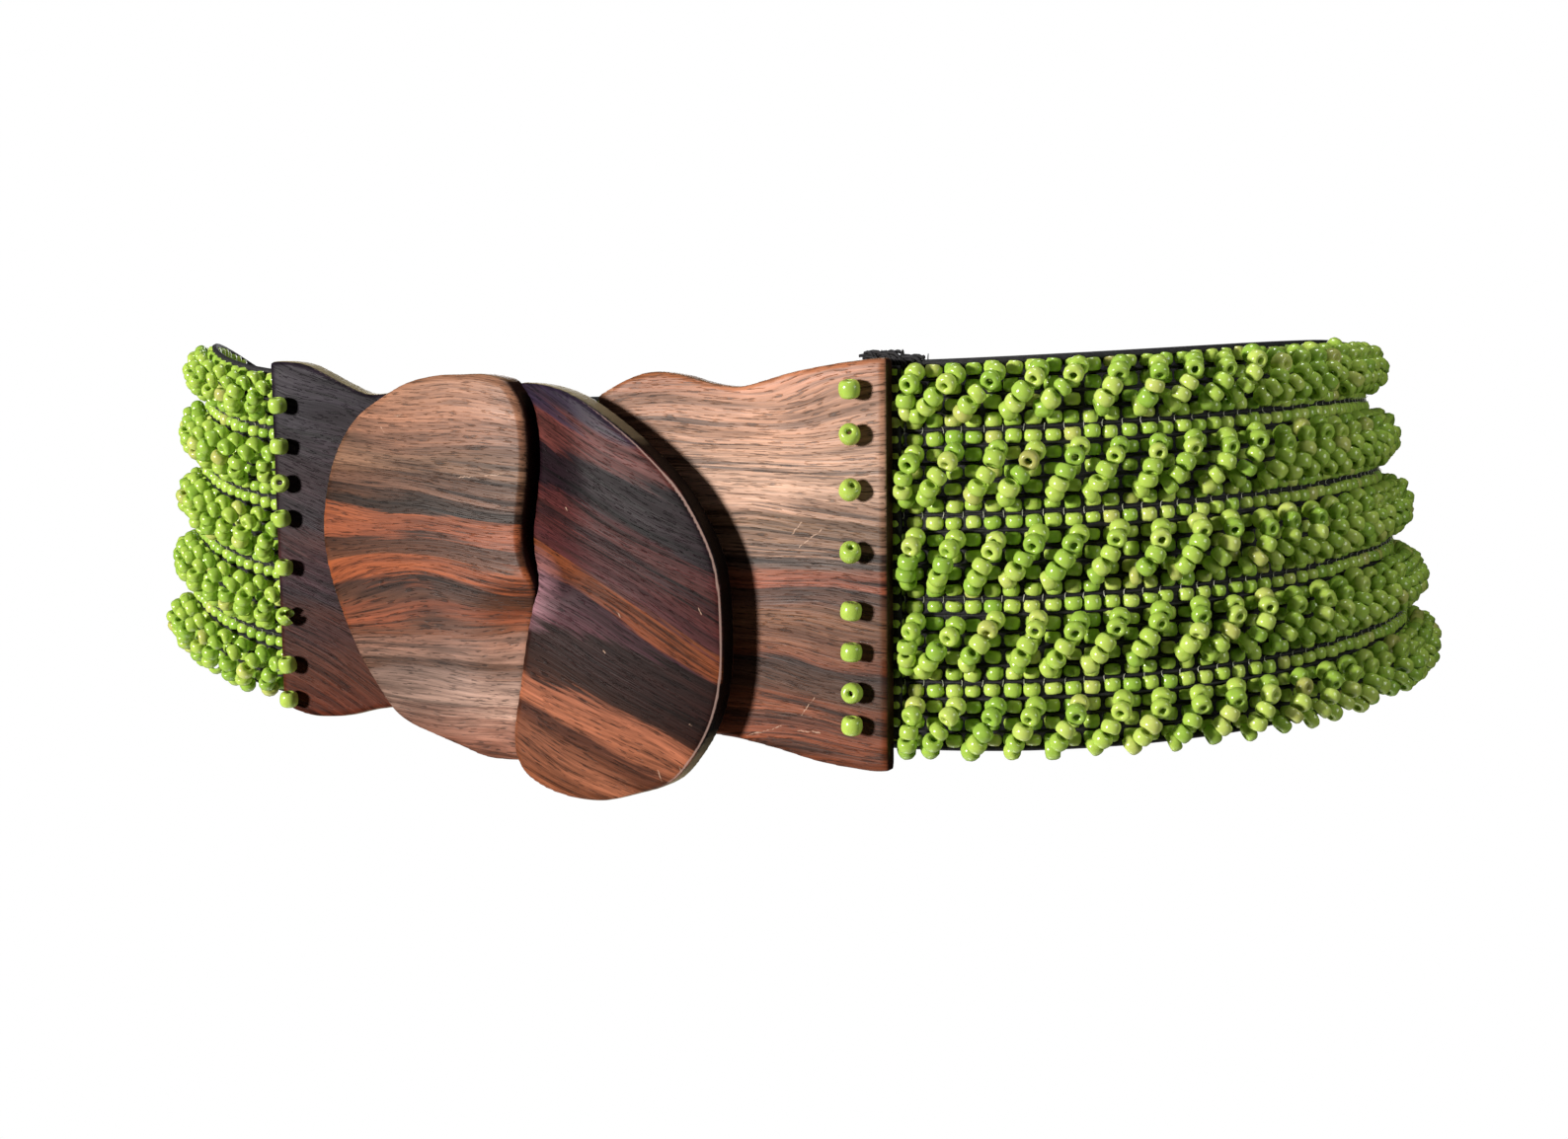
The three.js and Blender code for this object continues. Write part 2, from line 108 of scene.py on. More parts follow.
# Places that follow
FRONT_HALF = (LEFT_REACH + RIGHT_REACH) / 2 - EDGE_OVERHANG
HOOK_X = (LEFT_REACH - RIGHT_REACH) / 2
SIDE_END = FRONT_HALF + SIDE_RADIUS * SIDE_TURN
BACK_RADIUS = SIDE_RADIUS + FRONT_HALF / math.sin(SIDE_TURN)
BACK_CENTRE = SIDE_RADIUS + (BACK_RADIUS - SIDE_RADIUS) * math.cos(SIDE_TURN)
LOOP_LENGTH = 2 * (SIDE_END + BACK_RADIUS * (math.pi - SIDE_TURN))
LOOP_DEPTH = BACK_CENTRE + BACK_RADIUS
ROW_PITCH = BAND_WIDTH / sum(LOBE_ROWS)
CLASP_ORIGIN = np.array([HOOK_X, -LOOP_DEPTH / 2, 0.0])

# Outlines as shares of each piece's reach and of half its height
RIGHT_PLATE_TOP = (
    (0.22, 0.83), (0.31, 0.92), (0.38, 0.95), (0.46, 0.93), (0.53, 0.89),
    (0.61, 0.87), (0.68, 0.9), (0.76, 0.94), (0.89, 0.98), (1, 1),
)
RIGHT_PLATE_BOTTOM = (
    (1, -1), (0.95, -1.01), (0.82, -0.99), (0.69, -0.94),
    (0.55, -0.9), (0.4, -0.9), (0.2, -0.84), (0, -0.8),
)
LEFT_PLATE_TOP = (
    (1, 1), (0.93, 1), (0.86, 0.98), (0.8, 0.94), (0.71, 0.87),
    (0.61, 0.81), (0.5, 0.82), (0.3, 0.84), (0.1, 0.8),
)
LEFT_PLATE_BOTTOM = (
    (0.2, -0.84), (0.4, -0.91), (0.6, -0.96), (0.72, -1.01),
    (0.81, -1.03), (0.9, -1.03), (1, -0.98),
)
LIGHT_PETAL_RIM = (
    (0.1, 1), (0.21, 1), (0.32, 1), (0.44, 0.98), (0.55, 0.94), (0.7, 0.85), (0.79, 0.78),
    (0.88, 0.66), (0.96, 0.46), (1, 0.2), (0.98, -0.04), (0.91, -0.27), (0.81, -0.5),
    (0.7, -0.68), (0.62, -0.79), (0.53, -0.85), (0.42, -0.89), (0.28, -0.94), (0.12, -1), (-0.1, -1),
)
DIVIDING_EDGE = (
    (-0.14, -0.11), (-0.125, -0.05), (-0.095, 0.04), (-0.078, 0.16), (-0.085, 0.27), (-0.1, 0.38),
    (-0.113, 0.5), (-0.117, 0.62), (-0.11, 0.74), (-0.09, 0.84), (-0.055, 0.91), (-0.01, 0.97),
)
DARK_PETAL_RIM = (
    (0.14, -0.01), (0.09, -0.23), (0.05, -0.48), (0.015, -0.7), (0.03, -0.84), (0.1, -0.93),
    (0.25, -0.99), (0.43, -1), (0.6, -0.95), (0.75, -0.885), (0.85, -0.77), (0.94, -0.6),
    (0.99, -0.39), (1, -0.12), (0.98, 0.12), (0.92, 0.3), (0.81, 0.5), (0.66, 0.67),
    (0.55, 0.77), (0.45, 0.85), (0.36, 0.91), (0.27, 0.95), (0.17, 0.975), (0.05, 0.985),
)

# The dish carved into each plate's face: middle and half width as shares of the reach, depth of the thickness
DISH_MIDDLE = 0.62
DISH_HALF = 0.37
DISH_DEPTH = 0.2

# Stitch beads from top to bottom: share of half the plate's height, yaw and pitch in degrees
LEFT_STITCH_BEADS = (
    (0.75, 10, 12), (0.52, 75, 8), (0.31, 40, 80), (0.11, 0, 20),
    (-0.17, 70, 10), (-0.45, 20, 60), (-0.73, 5, 15), (-0.93, 60, 10),
)
RIGHT_STITCH_BEADS = (
    (0.85, 5, 12), (0.635, 20, 70), (0.37, 45, 55), (0.07, 30, 50),
    (-0.215, 80, 8), (-0.415, 85, 5), (-0.615, 10, 86), (-0.775, 55, 10),
)


def smooth_step(value):
    t = np.clip(value, 0, 1)
    return t * t * (3 - 2 * t)


def linear(code):
    """A colour written as six hexadecimal digits, as linear light."""
    parts = [int(code[i:i + 2], 16) / 255 for i in (0, 2, 4)]
    return [c / 12.92 if c <= 0.04045 else ((c + 0.055) / 1.055) ** 2.4 for c in parts] + [1.0]


def mesh_object(name, vertices, quads, smooth=True):
    """An object from vertices in millimetres and an array of four-sided faces."""
    mesh = bpy.data.meshes.new(name)
    mesh.vertices.add(len(vertices))
    mesh.vertices.foreach_set("co", (np.asarray(vertices) * MM).astype(np.float32).ravel())
    quads = np.asarray(quads, dtype=np.int32)
    size = quads.shape[1]
    mesh.loops.add(quads.size)
    mesh.loops.foreach_set("vertex_index", quads.ravel())
    mesh.polygons.add(len(quads))
    mesh.polygons.foreach_set("loop_start", np.arange(0, quads.size, size, dtype=np.int32))
    mesh.polygons.foreach_set("use_smooth", np.full(len(quads), smooth))
    mesh.update(calc_edges=True)
    mesh.validate()
    obj = bpy.data.objects.new(name, mesh)
    bpy.context.scene.collection.objects.link(obj)
    return obj


def float_attribute(obj, name, values):
    attribute = obj.data.attributes.new(name, "FLOAT", "POINT")
    attribute.data.foreach_set("value", np.asarray(values, dtype=np.float32))


# Outlines of the clasp

def placed(table, reach, height, lift, side):
    return [(side * across * reach, up * height / 2 + lift) for across, up in table]


def smoothed(points, count):
    """Points along a curve through the given points, evenly spaced along it."""
    p = np.array(points, dtype=float)
    before = np.vstack([2 * p[0] - p[1], p[:-2]]) if len(p) > 2 else p[:1]
    after = np.vstack([p[2:], 2 * p[-1] - p[-2]])
    fine = []
    steps = 16
    for i in range(len(p) - 1):
        t = np.arange(steps)[:, None] / steps
        slope_a = (p[i + 1] - before[i]) / 2
        slope_b = (after[i] - p[i]) / 2
        h = 2 * t**3 - 3 * t**2
        fine.append((1 + h) * p[i] + (t**3 - 2 * t**2 + t) * slope_a - h * p[i + 1] + (t**3 - t**2) * slope_b)
    fine = np.vstack(fine + [p[-1:]])
    along = np.concatenate([[0], np.cumsum(np.linalg.norm(np.diff(fine, axis=0), axis=1))])
    wanted = np.linspace(0, along[-1], count + 1)
    return np.stack([np.interp(wanted, along, fine[:, 0]), np.interp(wanted, along, fine[:, 1])], -1)


def dividing_edge():
    return np.array(placed(DIVIDING_EDGE, LIGHT_PETAL_REACH, LIGHT_PETAL_HEIGHT, LIGHT_PETAL_LIFT, -1))


def dark_petal_outline():
    rim = placed(DARK_PETAL_RIM, DARK_PETAL_REACH, DARK_PETAL_HEIGHT, DARK_PETAL_LIFT, 1)
    edge = dividing_edge()
    opening = smooth_step(3 * np.arange(len(edge)) / len(edge))
    seam = edge + np.stack([HOOK_CLEARANCE + (UPPER_SEAM - HOOK_CLEARANCE) * opening, 0 * opening], -1)
    below = [point for point in seam[1:] if point[1] < rim[-1][1] - UPPER_SEAM]
    return np.vstack([smoothed(rim, 90), smoothed(below, 30)[::-1]])


def light_petal_outline():
    rim = placed(LIGHT_PETAL_RIM, LIGHT_PETAL_REACH, LIGHT_PETAL_HEIGHT, LIGHT_PETAL_LIFT, -1)
    upper = smoothed(list(dividing_edge()) + rim[:3], 40)
    overlap = [(DARK_NECK_REACH, CROSSING_HEIGHT - DARK_NECK_REACH)]
    return np.vstack([upper, smoothed(rim[2:], 90)[1:], overlap])


def right_plate_outline():
    top = placed(RIGHT_PLATE_TOP, RIGHT_REACH, PLATE_HEIGHT, RIGHT_PLATE_LIFT, 1)
    bottom = placed(RIGHT_PLATE_BOTTOM, RIGHT_REACH, PLATE_HEIGHT, RIGHT_PLATE_LIFT, 1)
    inner = DARK_NECK_REACH + HOOK_CLEARANCE
    step = CROSSING_HEIGHT - HOOK_CLEARANCE / 2
    end = -LIGHT_NECK_REACH
    hook = [(end, bottom[-1][1]), (end, step), (inner, step)]
    return np.vstack([smoothed(top, 60), smoothed(bottom, 50), hook])


def left_plate_outline():
    top = placed(LEFT_PLATE_TOP, LEFT_REACH, PLATE_HEIGHT, LEFT_PLATE_LIFT, -1)
    bottom = placed(LEFT_PLATE_BOTTOM, LEFT_REACH, PLATE_HEIGHT, LEFT_PLATE_LIFT, -1)
    inner = -LIGHT_NECK_REACH - HOOK_CLEARANCE
    step = CROSSING_HEIGHT + HOOK_CLEARANCE / 2
    hook = [(DARK_NECK_REACH, NECK_TOP), (DARK_NECK_REACH, step), (inner, step)]
    return np.vstack([smoothed(top, 60), hook, smoothed(bottom, 50)])


def outline_distance(outline, x, z):
    """Distance of each place from the outline, negative inside it."""
    a = np.asarray(outline)
    b = np.roll(a, -1, axis=0)
    nearest = np.full(x.shape, 1e9)
    inside = np.zeros(x.shape, dtype=bool)
    for (ax, az), (bx, bz) in zip(a, b):
        dx, dz = bx - ax, bz - az
        length = dx * dx + dz * dz
        if length < 1e-12:
            continue
        t = np.clip(((x - ax) * dx + (z - az) * dz) / length, 0, 1)
        nearest = np.minimum(nearest, (x - ax - t * dx) ** 2 + (z - az - t * dz) ** 2)
        if az != bz:
            crosses = (az > z) != (bz > z)
            inside ^= crosses & (x < ax + (z - az) / dz * dx)
    return np.where(inside, -1, 1) * np.sqrt(nearest)


def rounded_slab(across, depth, back, front, back_round, front_round):
    """A board with rounded edges: how far each place is outside it."""
    middle = (back + front) / 2
    radius = np.where(depth > middle, front_round, back_round)
    a = across + radius
    b = np.maximum(depth - front, back - depth) + radius
    return np.hypot(np.maximum(a, 0), np.maximum(b, 0)) + np.minimum(np.maximum(a, b), 0) - radius


def surface_net(name, field, origin, step):
    """A smooth skin where the field passes through zero, one vertex in each crossed cell."""
    inside = field < 0
    corners = [(i, j, k) for i in (0, 1) for j in (0, 1) for k in (0, 1)]
    size = np.array(field.shape) - 1
    window = [tuple(slice(c[a], c[a] + size[a]) for a in range(3)) for c in corners]
    count = sum(inside[w].astype(np.int8) for w in window)
    cells = np.argwhere((count > 0) & (count < 8))
    number = np.full(size, -1, dtype=np.int64)
    number[tuple(cells.T)] = np.arange(len(cells))
    total = np.zeros((len(cells), 3))
    hits = np.zeros(len(cells))
    for i, p in enumerate(corners):
        for q in corners[i + 1:]:
            if sum(abs(p[a] - q[a]) for a in range(3)) != 1:
                continue
            fp = field[tuple((cells + p).T)]
            fq = field[tuple((cells + q).T)]
            crossed = (fp < 0) != (fq < 0)
            t = np.where(crossed, fp / np.where(crossed, fp - fq, 1), 0)
            place = np.array(p) + t[:, None] * (np.array(q) - np.array(p))
            total += place * crossed[:, None]
            hits += crossed
    vertices = origin + (cells + total / hits[:, None]) * step
    faces = []
    for axis in range(3):
        u, v = [a for a in range(3) if a != axis]
        low = [slice(None)] * 3
        high = [slice(None)] * 3
        low[axis], high[axis] = slice(0, -1), slice(1, None)
        change = inside[tuple(low)] != inside[tuple(high)]
        at = np.argwhere(change)
        at = at[(at[:, u] > 0) & (at[:, v] > 0) & (at[:, u] < size[u]) & (at[:, v] < size[v])]
        around = []
        for du, dv in ((-1, -1), (0, -1), (0, 0), (-1, 0)):
            cell = at.copy()
            cell[:, u] += du
            cell[:, v] += dv
            around.append(number[tuple(cell.T)])
        quads = np.stack(around, -1)
        outward = inside[tuple(at.T)]
        flip = outward if axis != 1 else ~outward
        quads[~flip] = quads[~flip][:, ::-1]
        faces.append(quads)
    return mesh_object(name, vertices, np.vstack(faces))


CARVING_STEP = 0.6
# How much more the plates' outer edges are rounded at the back
UNDERCUT = 2.0
CARVING_MARGIN = 2.0


def carving_grid(left, right, bottom, top):
    step = CARVING_STEP
    x = np.arange(left - CARVING_MARGIN, right + CARVING_MARGIN, step)
    n = np.arange(-CARVING_MARGIN, PETAL_FRONT + CARVING_MARGIN, step)
    z = np.arange(bottom - CARVING_MARGIN, top + CARVING_MARGIN, step)
    return x, n, z


def dividing_x(z):
    """Where the line between the petals is, at each height."""
    upper = dividing_edge()
    lower = np.array(placed(DARK_PETAL_RIM[:5], DARK_PETAL_REACH, DARK_PETAL_HEIGHT, DARK_PETAL_LIFT, 1))
    line = np.vstack([lower[::-1], upper[1:]])
    return np.interp(z, line[:, 1], line[:, 0])


def carved_thickness(x, reach):
    share = (np.abs(x) / reach - DISH_MIDDLE) / DISH_HALF
    return PLATE_THICKNESS * (1 - DISH_DEPTH * np.maximum(0, 1 - share**2))


def petal_face(distance, x, z, low_side):
    """Height of a petal's front: crowned at the rim, dipping where it passes under the other petal."""
    crown = 0.7 * np.exp(np.minimum(distance, 0) / 9)
    away = np.abs(x - dividing_x(z))
    slope = 1.3 * (away / LIGHT_PETAL_REACH) ** 2
    under = smooth_step(low_side * (z - CROSSING_HEIGHT) / 9 + 0.35)
    dip = 2.2 * under * np.exp(-((away / 9) ** 2))
    return PETAL_FRONT - crown - slope - dip


def box_distance(x, z, left, right, bottom, top):
    return np.maximum(np.maximum(left - x, x - right), np.maximum(bottom - z, z - top))


def carve(name, outline, plate_outline, neck, reach, low_side, cut=None, soft_edge=None):
    """One half of the clasp: its petal in front, its plate behind, and the neck that joins them."""
    both = np.vstack([outline, plate_outline])
    xs, ns, zs = carving_grid(both[:, 0].min(), both[:, 0].max(), both[:, 1].min(), both[:, 1].max())
    x, z = np.meshgrid(xs, zs, indexing="ij")
    petal = outline_distance(outline, x, z)
    if cut is not None:
        petal = np.maximum(petal, HOOK_CLEARANCE - outline_distance(cut, x, z))
    plate = outline_distance(plate_outline, x, z)
    thickness = carved_thickness(x, reach)
    face = petal_face(petal, x, z, low_side)
    front_round = np.full(x.shape, 0.6)
    back_round = 0.4 + UNDERCUT * smooth_step((np.abs(x) - reach + 4) / 3)
    if soft_edge is not None:
        near = smooth_step(1.2 - np.abs(x - dividing_x(z)) / 6) * smooth_step((z - CROSSING_HEIGHT) / 8)
        front_round = front_round + soft_edge * near
    neck_area = np.maximum(petal, box_distance(x, z, *neck))
    n = ns[None, :, None]
    petal, plate, neck_area, thickness, face, front_round, back_round = (
        a[:, None, :] for a in (petal, plate, neck_area, thickness, face, front_round, back_round)
    )
    field = rounded_slab(petal, n, PETAL_BACK, face, 0.5, front_round)
    field = np.minimum(field, rounded_slab(plate, n, 0, thickness, back_round, 0.5))
    field = np.minimum(field, rounded_slab(neck_area, n, 0, face, 0.2, 0.6))
    field = field[:, ::-1, :]
    origin = CLASP_ORIGIN + np.array([xs[0], -ns[-1], zs[0]])
    half = surface_net(name, field, origin, CARVING_STEP)
    even = half.modifiers.new("even", "SMOOTH")
    even.factor = 0.5
    even.iterations = 3
    return half


def carve_dark_half():
    neck = (0, DARK_NECK_REACH, CROSSING_HEIGHT + HOOK_CLEARANCE, NECK_TOP)
    return carve("dark_rosewood_half", dark_petal_outline(), left_plate_outline(), neck, LEFT_REACH, 1)


def carve_light_half():
    neck = (-LIGHT_NECK_REACH, DARK_NECK_REACH, -2 * NECK_TOP, CROSSING_HEIGHT - HOOK_CLEARANCE)
    return carve(
        "light_rosewood_half", light_petal_outline(), right_plate_outline(), neck, RIGHT_REACH, -1,
        cut=dark_petal_outline(), soft_edge=0.9,
    )


# The loop of the band

def loop_place(run):
    """Places along the loop: x, y and heading, run counted from the middle front towards the right."""
    run = np.asarray(run, dtype=float)
    run = np.where(run > LOOP_LENGTH / 2, run - LOOP_LENGTH, run)
    side = np.where(run < 0, -1.0, 1.0)
    length = np.abs(run)
    on_side = np.clip((length - FRONT_HALF) / SIDE_RADIUS, 0, SIDE_TURN)
    on_back = SIDE_TURN + np.maximum(length - SIDE_END, 0) / BACK_RADIUS
    behind = length > SIDE_END
    heading = np.where(behind, on_back, on_side)
    front_x = np.minimum(length, FRONT_HALF) + SIDE_RADIUS * np.sin(on_side)
    front_y = SIDE_RADIUS * (1 - np.cos(on_side))
    x = np.where(behind, BACK_RADIUS * np.sin(on_back), front_x)
    y = np.where(behind, BACK_CENTRE - BACK_RADIUS * np.cos(on_back), front_y)
    return run, side * x, y - LOOP_DEPTH / 2, side * heading


def band_rise(run):
    """How high the band has climbed, or fallen, at each place on the loop."""
    right = run > 0
    length = np.abs(run)
    climbed = smooth_step((length - RISE_START) / np.where(right, RIGHT_RISE_RUN, LEFT_RISE_RUN))
    fall_start = np.where(right, RIGHT_FALL_START, LEFT_FALL_START)
    fallen = smooth_step((length - fall_start) / np.where(right, RIGHT_FALL_RUN, LEFT_FALL_RUN))
    return climbed * np.where(right, RIGHT_RISE, LEFT_RISE) * (1 - fallen) - BACK_DROP * fallen


def band_frame(run, up, out):
    """Places on the band and the directions along it, up it and out of it."""
    run, x, y, heading = loop_place(run)
    turned = np.minimum(np.abs(heading), math.pi / 2)
    behind = np.abs(heading) > math.pi / 2
    right_share = np.where(behind, (1 + np.sin(heading)) / 2, (run > 0).astype(float))
    flare = (1 - np.cos(turned)) * (LEFT_FLARE + (RIGHT_FLARE - LEFT_FLARE) * right_share)
    away = out * np.cos(flare) - up * np.sin(flare)
    height = up * np.cos(flare) + out * np.sin(flare) + band_rise(run)
    sin, cos = np.sin(heading), np.cos(heading)
    place = np.stack([x + sin * away, y - cos * away, height], -1)
    along = np.stack([cos, sin, 0 * sin], -1)
    upward = np.stack([-sin * np.sin(flare), cos * np.sin(flare), np.cos(flare)], -1)
    outward = np.stack([sin * np.cos(flare), -cos * np.cos(flare), np.sin(flare)], -1)
    return place, along, upward, outward


RIGHT_EDGE = HOOK_X + RIGHT_REACH
LEFT_EDGE = LOOP_LENGTH + HOOK_X - LEFT_REACH
# How far from the clasp the beads are seen close enough to be finer
RIGHT_DETAIL, LEFT_DETAIL = 135, 80


def bead_profile(radius, hole, length, rings):
    """Half a bead's section, from one end of the hole over the belly to the other, and the hole's wall."""
    angle = np.linspace(-0.5, 0.5, rings) * math.pi
    r = hole + (radius - hole) * np.cos(angle) ** 0.62
    z = length / 2 * np.sign(angle) * np.abs(np.sin(angle)) ** 0.85
    return r, z


def bead_shape(radius, hole, length, sides, rings, chip=0.0):
    """A drilled bead along its own z axis, closed through the hole, with a wedge chipped out if asked."""
    r, z = bead_profile(radius, hole, length, rings)
    turn = chip / 2 + np.arange(sides) * (2 * math.pi - chip) / (sides - (chip > 0))
    vertices = np.stack([
        np.outer(r, np.cos(turn)), np.outer(r, np.sin(turn)), np.repeat(z[:, None], sides, 1),
    ], -1).reshape(-1, 3)
    quads = []
    for i in range(rings):
        nxt = (i + 1) % rings
        for j in range(sides - (chip > 0)):
            k = (j + 1) % sides
            quads.append((i * sides + j, i * sides + k, nxt * sides + k, nxt * sides + j))
    if chip > 0:
        for i in range(rings // 2 - 1):
            ring = [i, i + 1, rings - 2 - i, rings - 1 - i]
            quads.append(tuple(row * sides for row in ring[::-1]))
            quads.append(tuple(row * sides + sides - 1 for row in ring))
    return vertices, np.array(quads)


def scatter(shape, places, axes, sideways, scales):
    """Copies of a shape, each with its own place, axis, side direction and size, as one mesh."""
    vertices, quads = shape
    axes = axes / np.linalg.norm(axes, axis=1, keepdims=True)
    sideways = sideways - axes * np.sum(sideways * axes, axis=1, keepdims=True)
    sideways = sideways / np.linalg.norm(sideways, axis=1, keepdims=True)
    third = np.cross(axes, sideways)
    local = vertices[None] * scales[:, None, :]
    moved = (
        places[:, None] + local[..., :1] * sideways[:, None]
        + local[..., 1:2] * third[:, None] + local[..., 2:] * axes[:, None]
    )
    offsets = (np.arange(len(places)) * len(vertices))[:, None, None]
    return moved.reshape(-1, 3), (quads[None] + offsets).reshape(-1, quads.shape[1])


def bead_field(name, run, places, axes, sideways, rng, fine, coarse):
    """Many beads as one mesh, finer where the front of the belt is seen closest."""
    count = len(places)
    size = 1 + rng.normal(0, 0.035, count)
    scales = np.stack([size, size, size * (1 + rng.normal(0, 0.07, count))], -1)
    tint = spread_tints(rng, run)
    near = (run < RIGHT_EDGE + RIGHT_DETAIL) | (run > LEFT_EDGE - LEFT_DETAIL)
    meshes, tints, base = [], [], 0
    for shape, mask in ((fine, near), (coarse, ~near)):
        vertices, quads = scatter(shape, places[mask], axes[mask], sideways[mask], scales[mask])
        meshes.append((vertices, quads + base))
        tints.append(np.repeat(tint[mask], len(shape[0])))
        base += len(vertices)
    obj = mesh_object(name, np.vstack([m[0] for m in meshes]), np.vstack([m[1] for m in meshes]))
    float_attribute(obj, "tint", np.concatenate(tints))
    return obj


def lobe_rows():
    """For each lobe, the heights of its flat rows, from the top."""
    lobes, row = [], 0
    for count in LOBE_ROWS:
        lobes.append([BAND_WIDTH / 2 - (row + i + 0.5) * ROW_PITCH for i in range(count)])
        row += count
    return lobes


FIRST_COLUMN = -0.7


def columns():
    """Where the columns of flat beads stand, the first and last partly behind the plates' edges."""
    first = RIGHT_EDGE + FIRST_COLUMN
    last = LEFT_EDGE - FIRST_COLUMN
    return np.linspace(first, last, int(round((last - first) / COLUMN_PITCH)) + 1)


def spread_tints(rng, runs):
    """A random tint for each bead, with painted shade: deeper green on the left side and far right of the
    belt.
    """
    painted_shade = smooth_step((np.abs(runs - RIGHT_EDGE - 30) - 45) / 60)
    tint = rng.random(len(runs))
    return np.where(tint > 0.93, tint, tint * (1 - 0.35 * painted_shade))


def flat_rows(lobe, heights):
    rng = np.random.default_rng(SEED + lobe)
    runs, ups = (a.ravel() for a in np.meshgrid(columns(), heights, indexing="ij"))
    runs = runs + rng.normal(0, 0.12, len(runs))
    ups = ups + rng.normal(0, 0.1, len(ups))
    outs = -SEAT_CLEARANCE - WEB_THICKNESS / 2 + rng.normal(0, 0.12, len(runs))
    places, along, upward, outward = band_frame(runs, ups, outs)
    tilt = rng.normal(0, 0.07, (len(runs), 2))
    axes = upward + along * tilt[:, :1] + outward * tilt[:, 1:]
    fine = bead_shape(FLAT_RADIUS, FLAT_HOLE, FLAT_LENGTH, 10, 6)
    coarse = bead_shape(FLAT_RADIUS, FLAT_HOLE, FLAT_LENGTH, 6, 5)
    return bead_field(f"flat_rows_lobe_{lobe + 1}", runs, places, axes, along, rng, fine, coarse)


def loop_path(rng, start, top, bottom):
    """One standing loop as points along the band, up it and out of it."""
    turn = np.linspace(0.03, 0.97, 41) * math.pi
    slant = LOOP_SLANT * (1 + rng.normal(0, 0.16))
    finish = np.clip(start - slant, RIGHT_EDGE + LOOP_RADIUS + 0.3, LEFT_EDGE - LOOP_RADIUS - 0.3)
    stand = (LOOP_STAND - LOOP_RADIUS + 0.9) * (1 + rng.normal(0, 0.07))
    fallen = (1 - np.cos(turn)) / 2
    swing = rng.normal(0, 0.4) * np.sin(turn)
    return np.stack([
        start + (finish - start) * fallen + swing,
        top + (bottom - top) * fallen,
        -0.7 + stand * np.sin(turn) ** 0.8,
    ], -1)


# The way that a loop's first two beads and its last point: along the band, up it and out of it
FIRST_BEAD_WAY = (-0.2, -0.45, 0.85)
LAST_BEAD_WAY = (-0.8, -0.4, -0.35)
# How much thread shows where a loop turns down after its second bead
TURN_ROOM = 0.5


def strung(path, length):
    """Where beads of a length sit along a path, with the way that each one points."""
    along = np.concatenate([[0], np.cumsum(np.linalg.norm(np.diff(path, axis=0), axis=1))])
    count = int(round((along[-1] - TURN_ROOM) / length))
    wanted = (np.arange(count) + 0.5) * (along[-1] - TURN_ROOM) / count
    wanted[2:] += TURN_ROOM

    def at(places):
        return np.stack([np.interp(places, along, path[:, axis]) for axis in range(3)], -1)

    ways = at(wanted + 0.5) - at(wanted - 0.5)
    ways[:2] = FIRST_BEAD_WAY
    ways[-1] = LAST_BEAD_WAY
    return at(wanted), ways


def standing_loops(lobe, heights):
    """In every second column, a string of beads that arches out over the lobe and leans left as it drops."""
    rng = np.random.default_rng(SEED + 10 + lobe)
    top = heights[0] + ROW_PITCH / 2 - LOOP_ENDS[lobe][0]
    bottom = heights[-1] - ROW_PITCH / 2 + LOOP_ENDS[lobe][1]
    found, tangents = [], []
    for start in columns()[1::2] + 0.9:
        drop = rng.normal(0, 0.3)
        path = loop_path(rng, min(start, LEFT_EDGE - LOOP_RADIUS - 0.3), top + drop, bottom + drop)
        at, way = strung(path, LOOP_LENGTH_OF_BEAD + 0.06)
        found.append(at)
        tangents.append(way)
    runs, ups, outs = np.vstack(found).T
    tangents = np.vstack(tangents) + rng.normal(0, 0.15, (len(runs), 3))
    runs = runs + rng.normal(0, 0.14, len(runs))
    places, along, upward, outward = band_frame(runs, ups, outs)
    axes = along * tangents[:, :1] + upward * tangents[:, 1:2] + outward * tangents[:, 2:]
    fine = bead_shape(LOOP_RADIUS, LOOP_HOLE, LOOP_LENGTH_OF_BEAD, 12, 8)
    coarse = bead_shape(LOOP_RADIUS, LOOP_HOLE, LOOP_LENGTH_OF_BEAD, 7, 5)
    return bead_field(f"bead_loops_lobe_{lobe + 1}", runs, places, axes, along, rng, fine, coarse)


def ribbon(name, sections):
    """A closed tube through rings of points."""
    rings, around = len(sections), len(sections[0])
    vertices = np.vstack(sections)
    quads = []
    for i in range(rings - 1):
        for j in range(around):
            k = (j + 1) % around
            quads.append((i * around + j, i * around + k, (i + 1) * around + k, (i + 1) * around + j))
    obj = mesh_object(name, vertices, np.array(quads))
    close_ends(obj, around, rings)
    return obj


def close_ends(obj, around, rings):
    bm = bmesh.new()
    bm.from_mesh(obj.data)
    bm.verts.ensure_lookup_table()
    bm.faces.new([bm.verts[j] for j in range(around)][::-1])
    last = (rings - 1) * around
    bm.faces.new([bm.verts[last + j] for j in range(around)])
    bmesh.ops.recalc_face_normals(bm, faces=bm.faces)
    bm.to_mesh(obj.data)
    bm.free()


def join(name, objects):
    bpy.ops.object.select_all(action="DESELECT")
    for obj in objects:
        obj.select_set(True)
    bpy.context.view_layer.objects.active = objects[0]
    bpy.ops.object.join()
    objects[0].name = name
    return objects[0]


CORD_HALF_HEIGHT = 0.34
CORD_HALF_DEPTH = 1.1
EDGE_CORD_RADIUS = 0.7


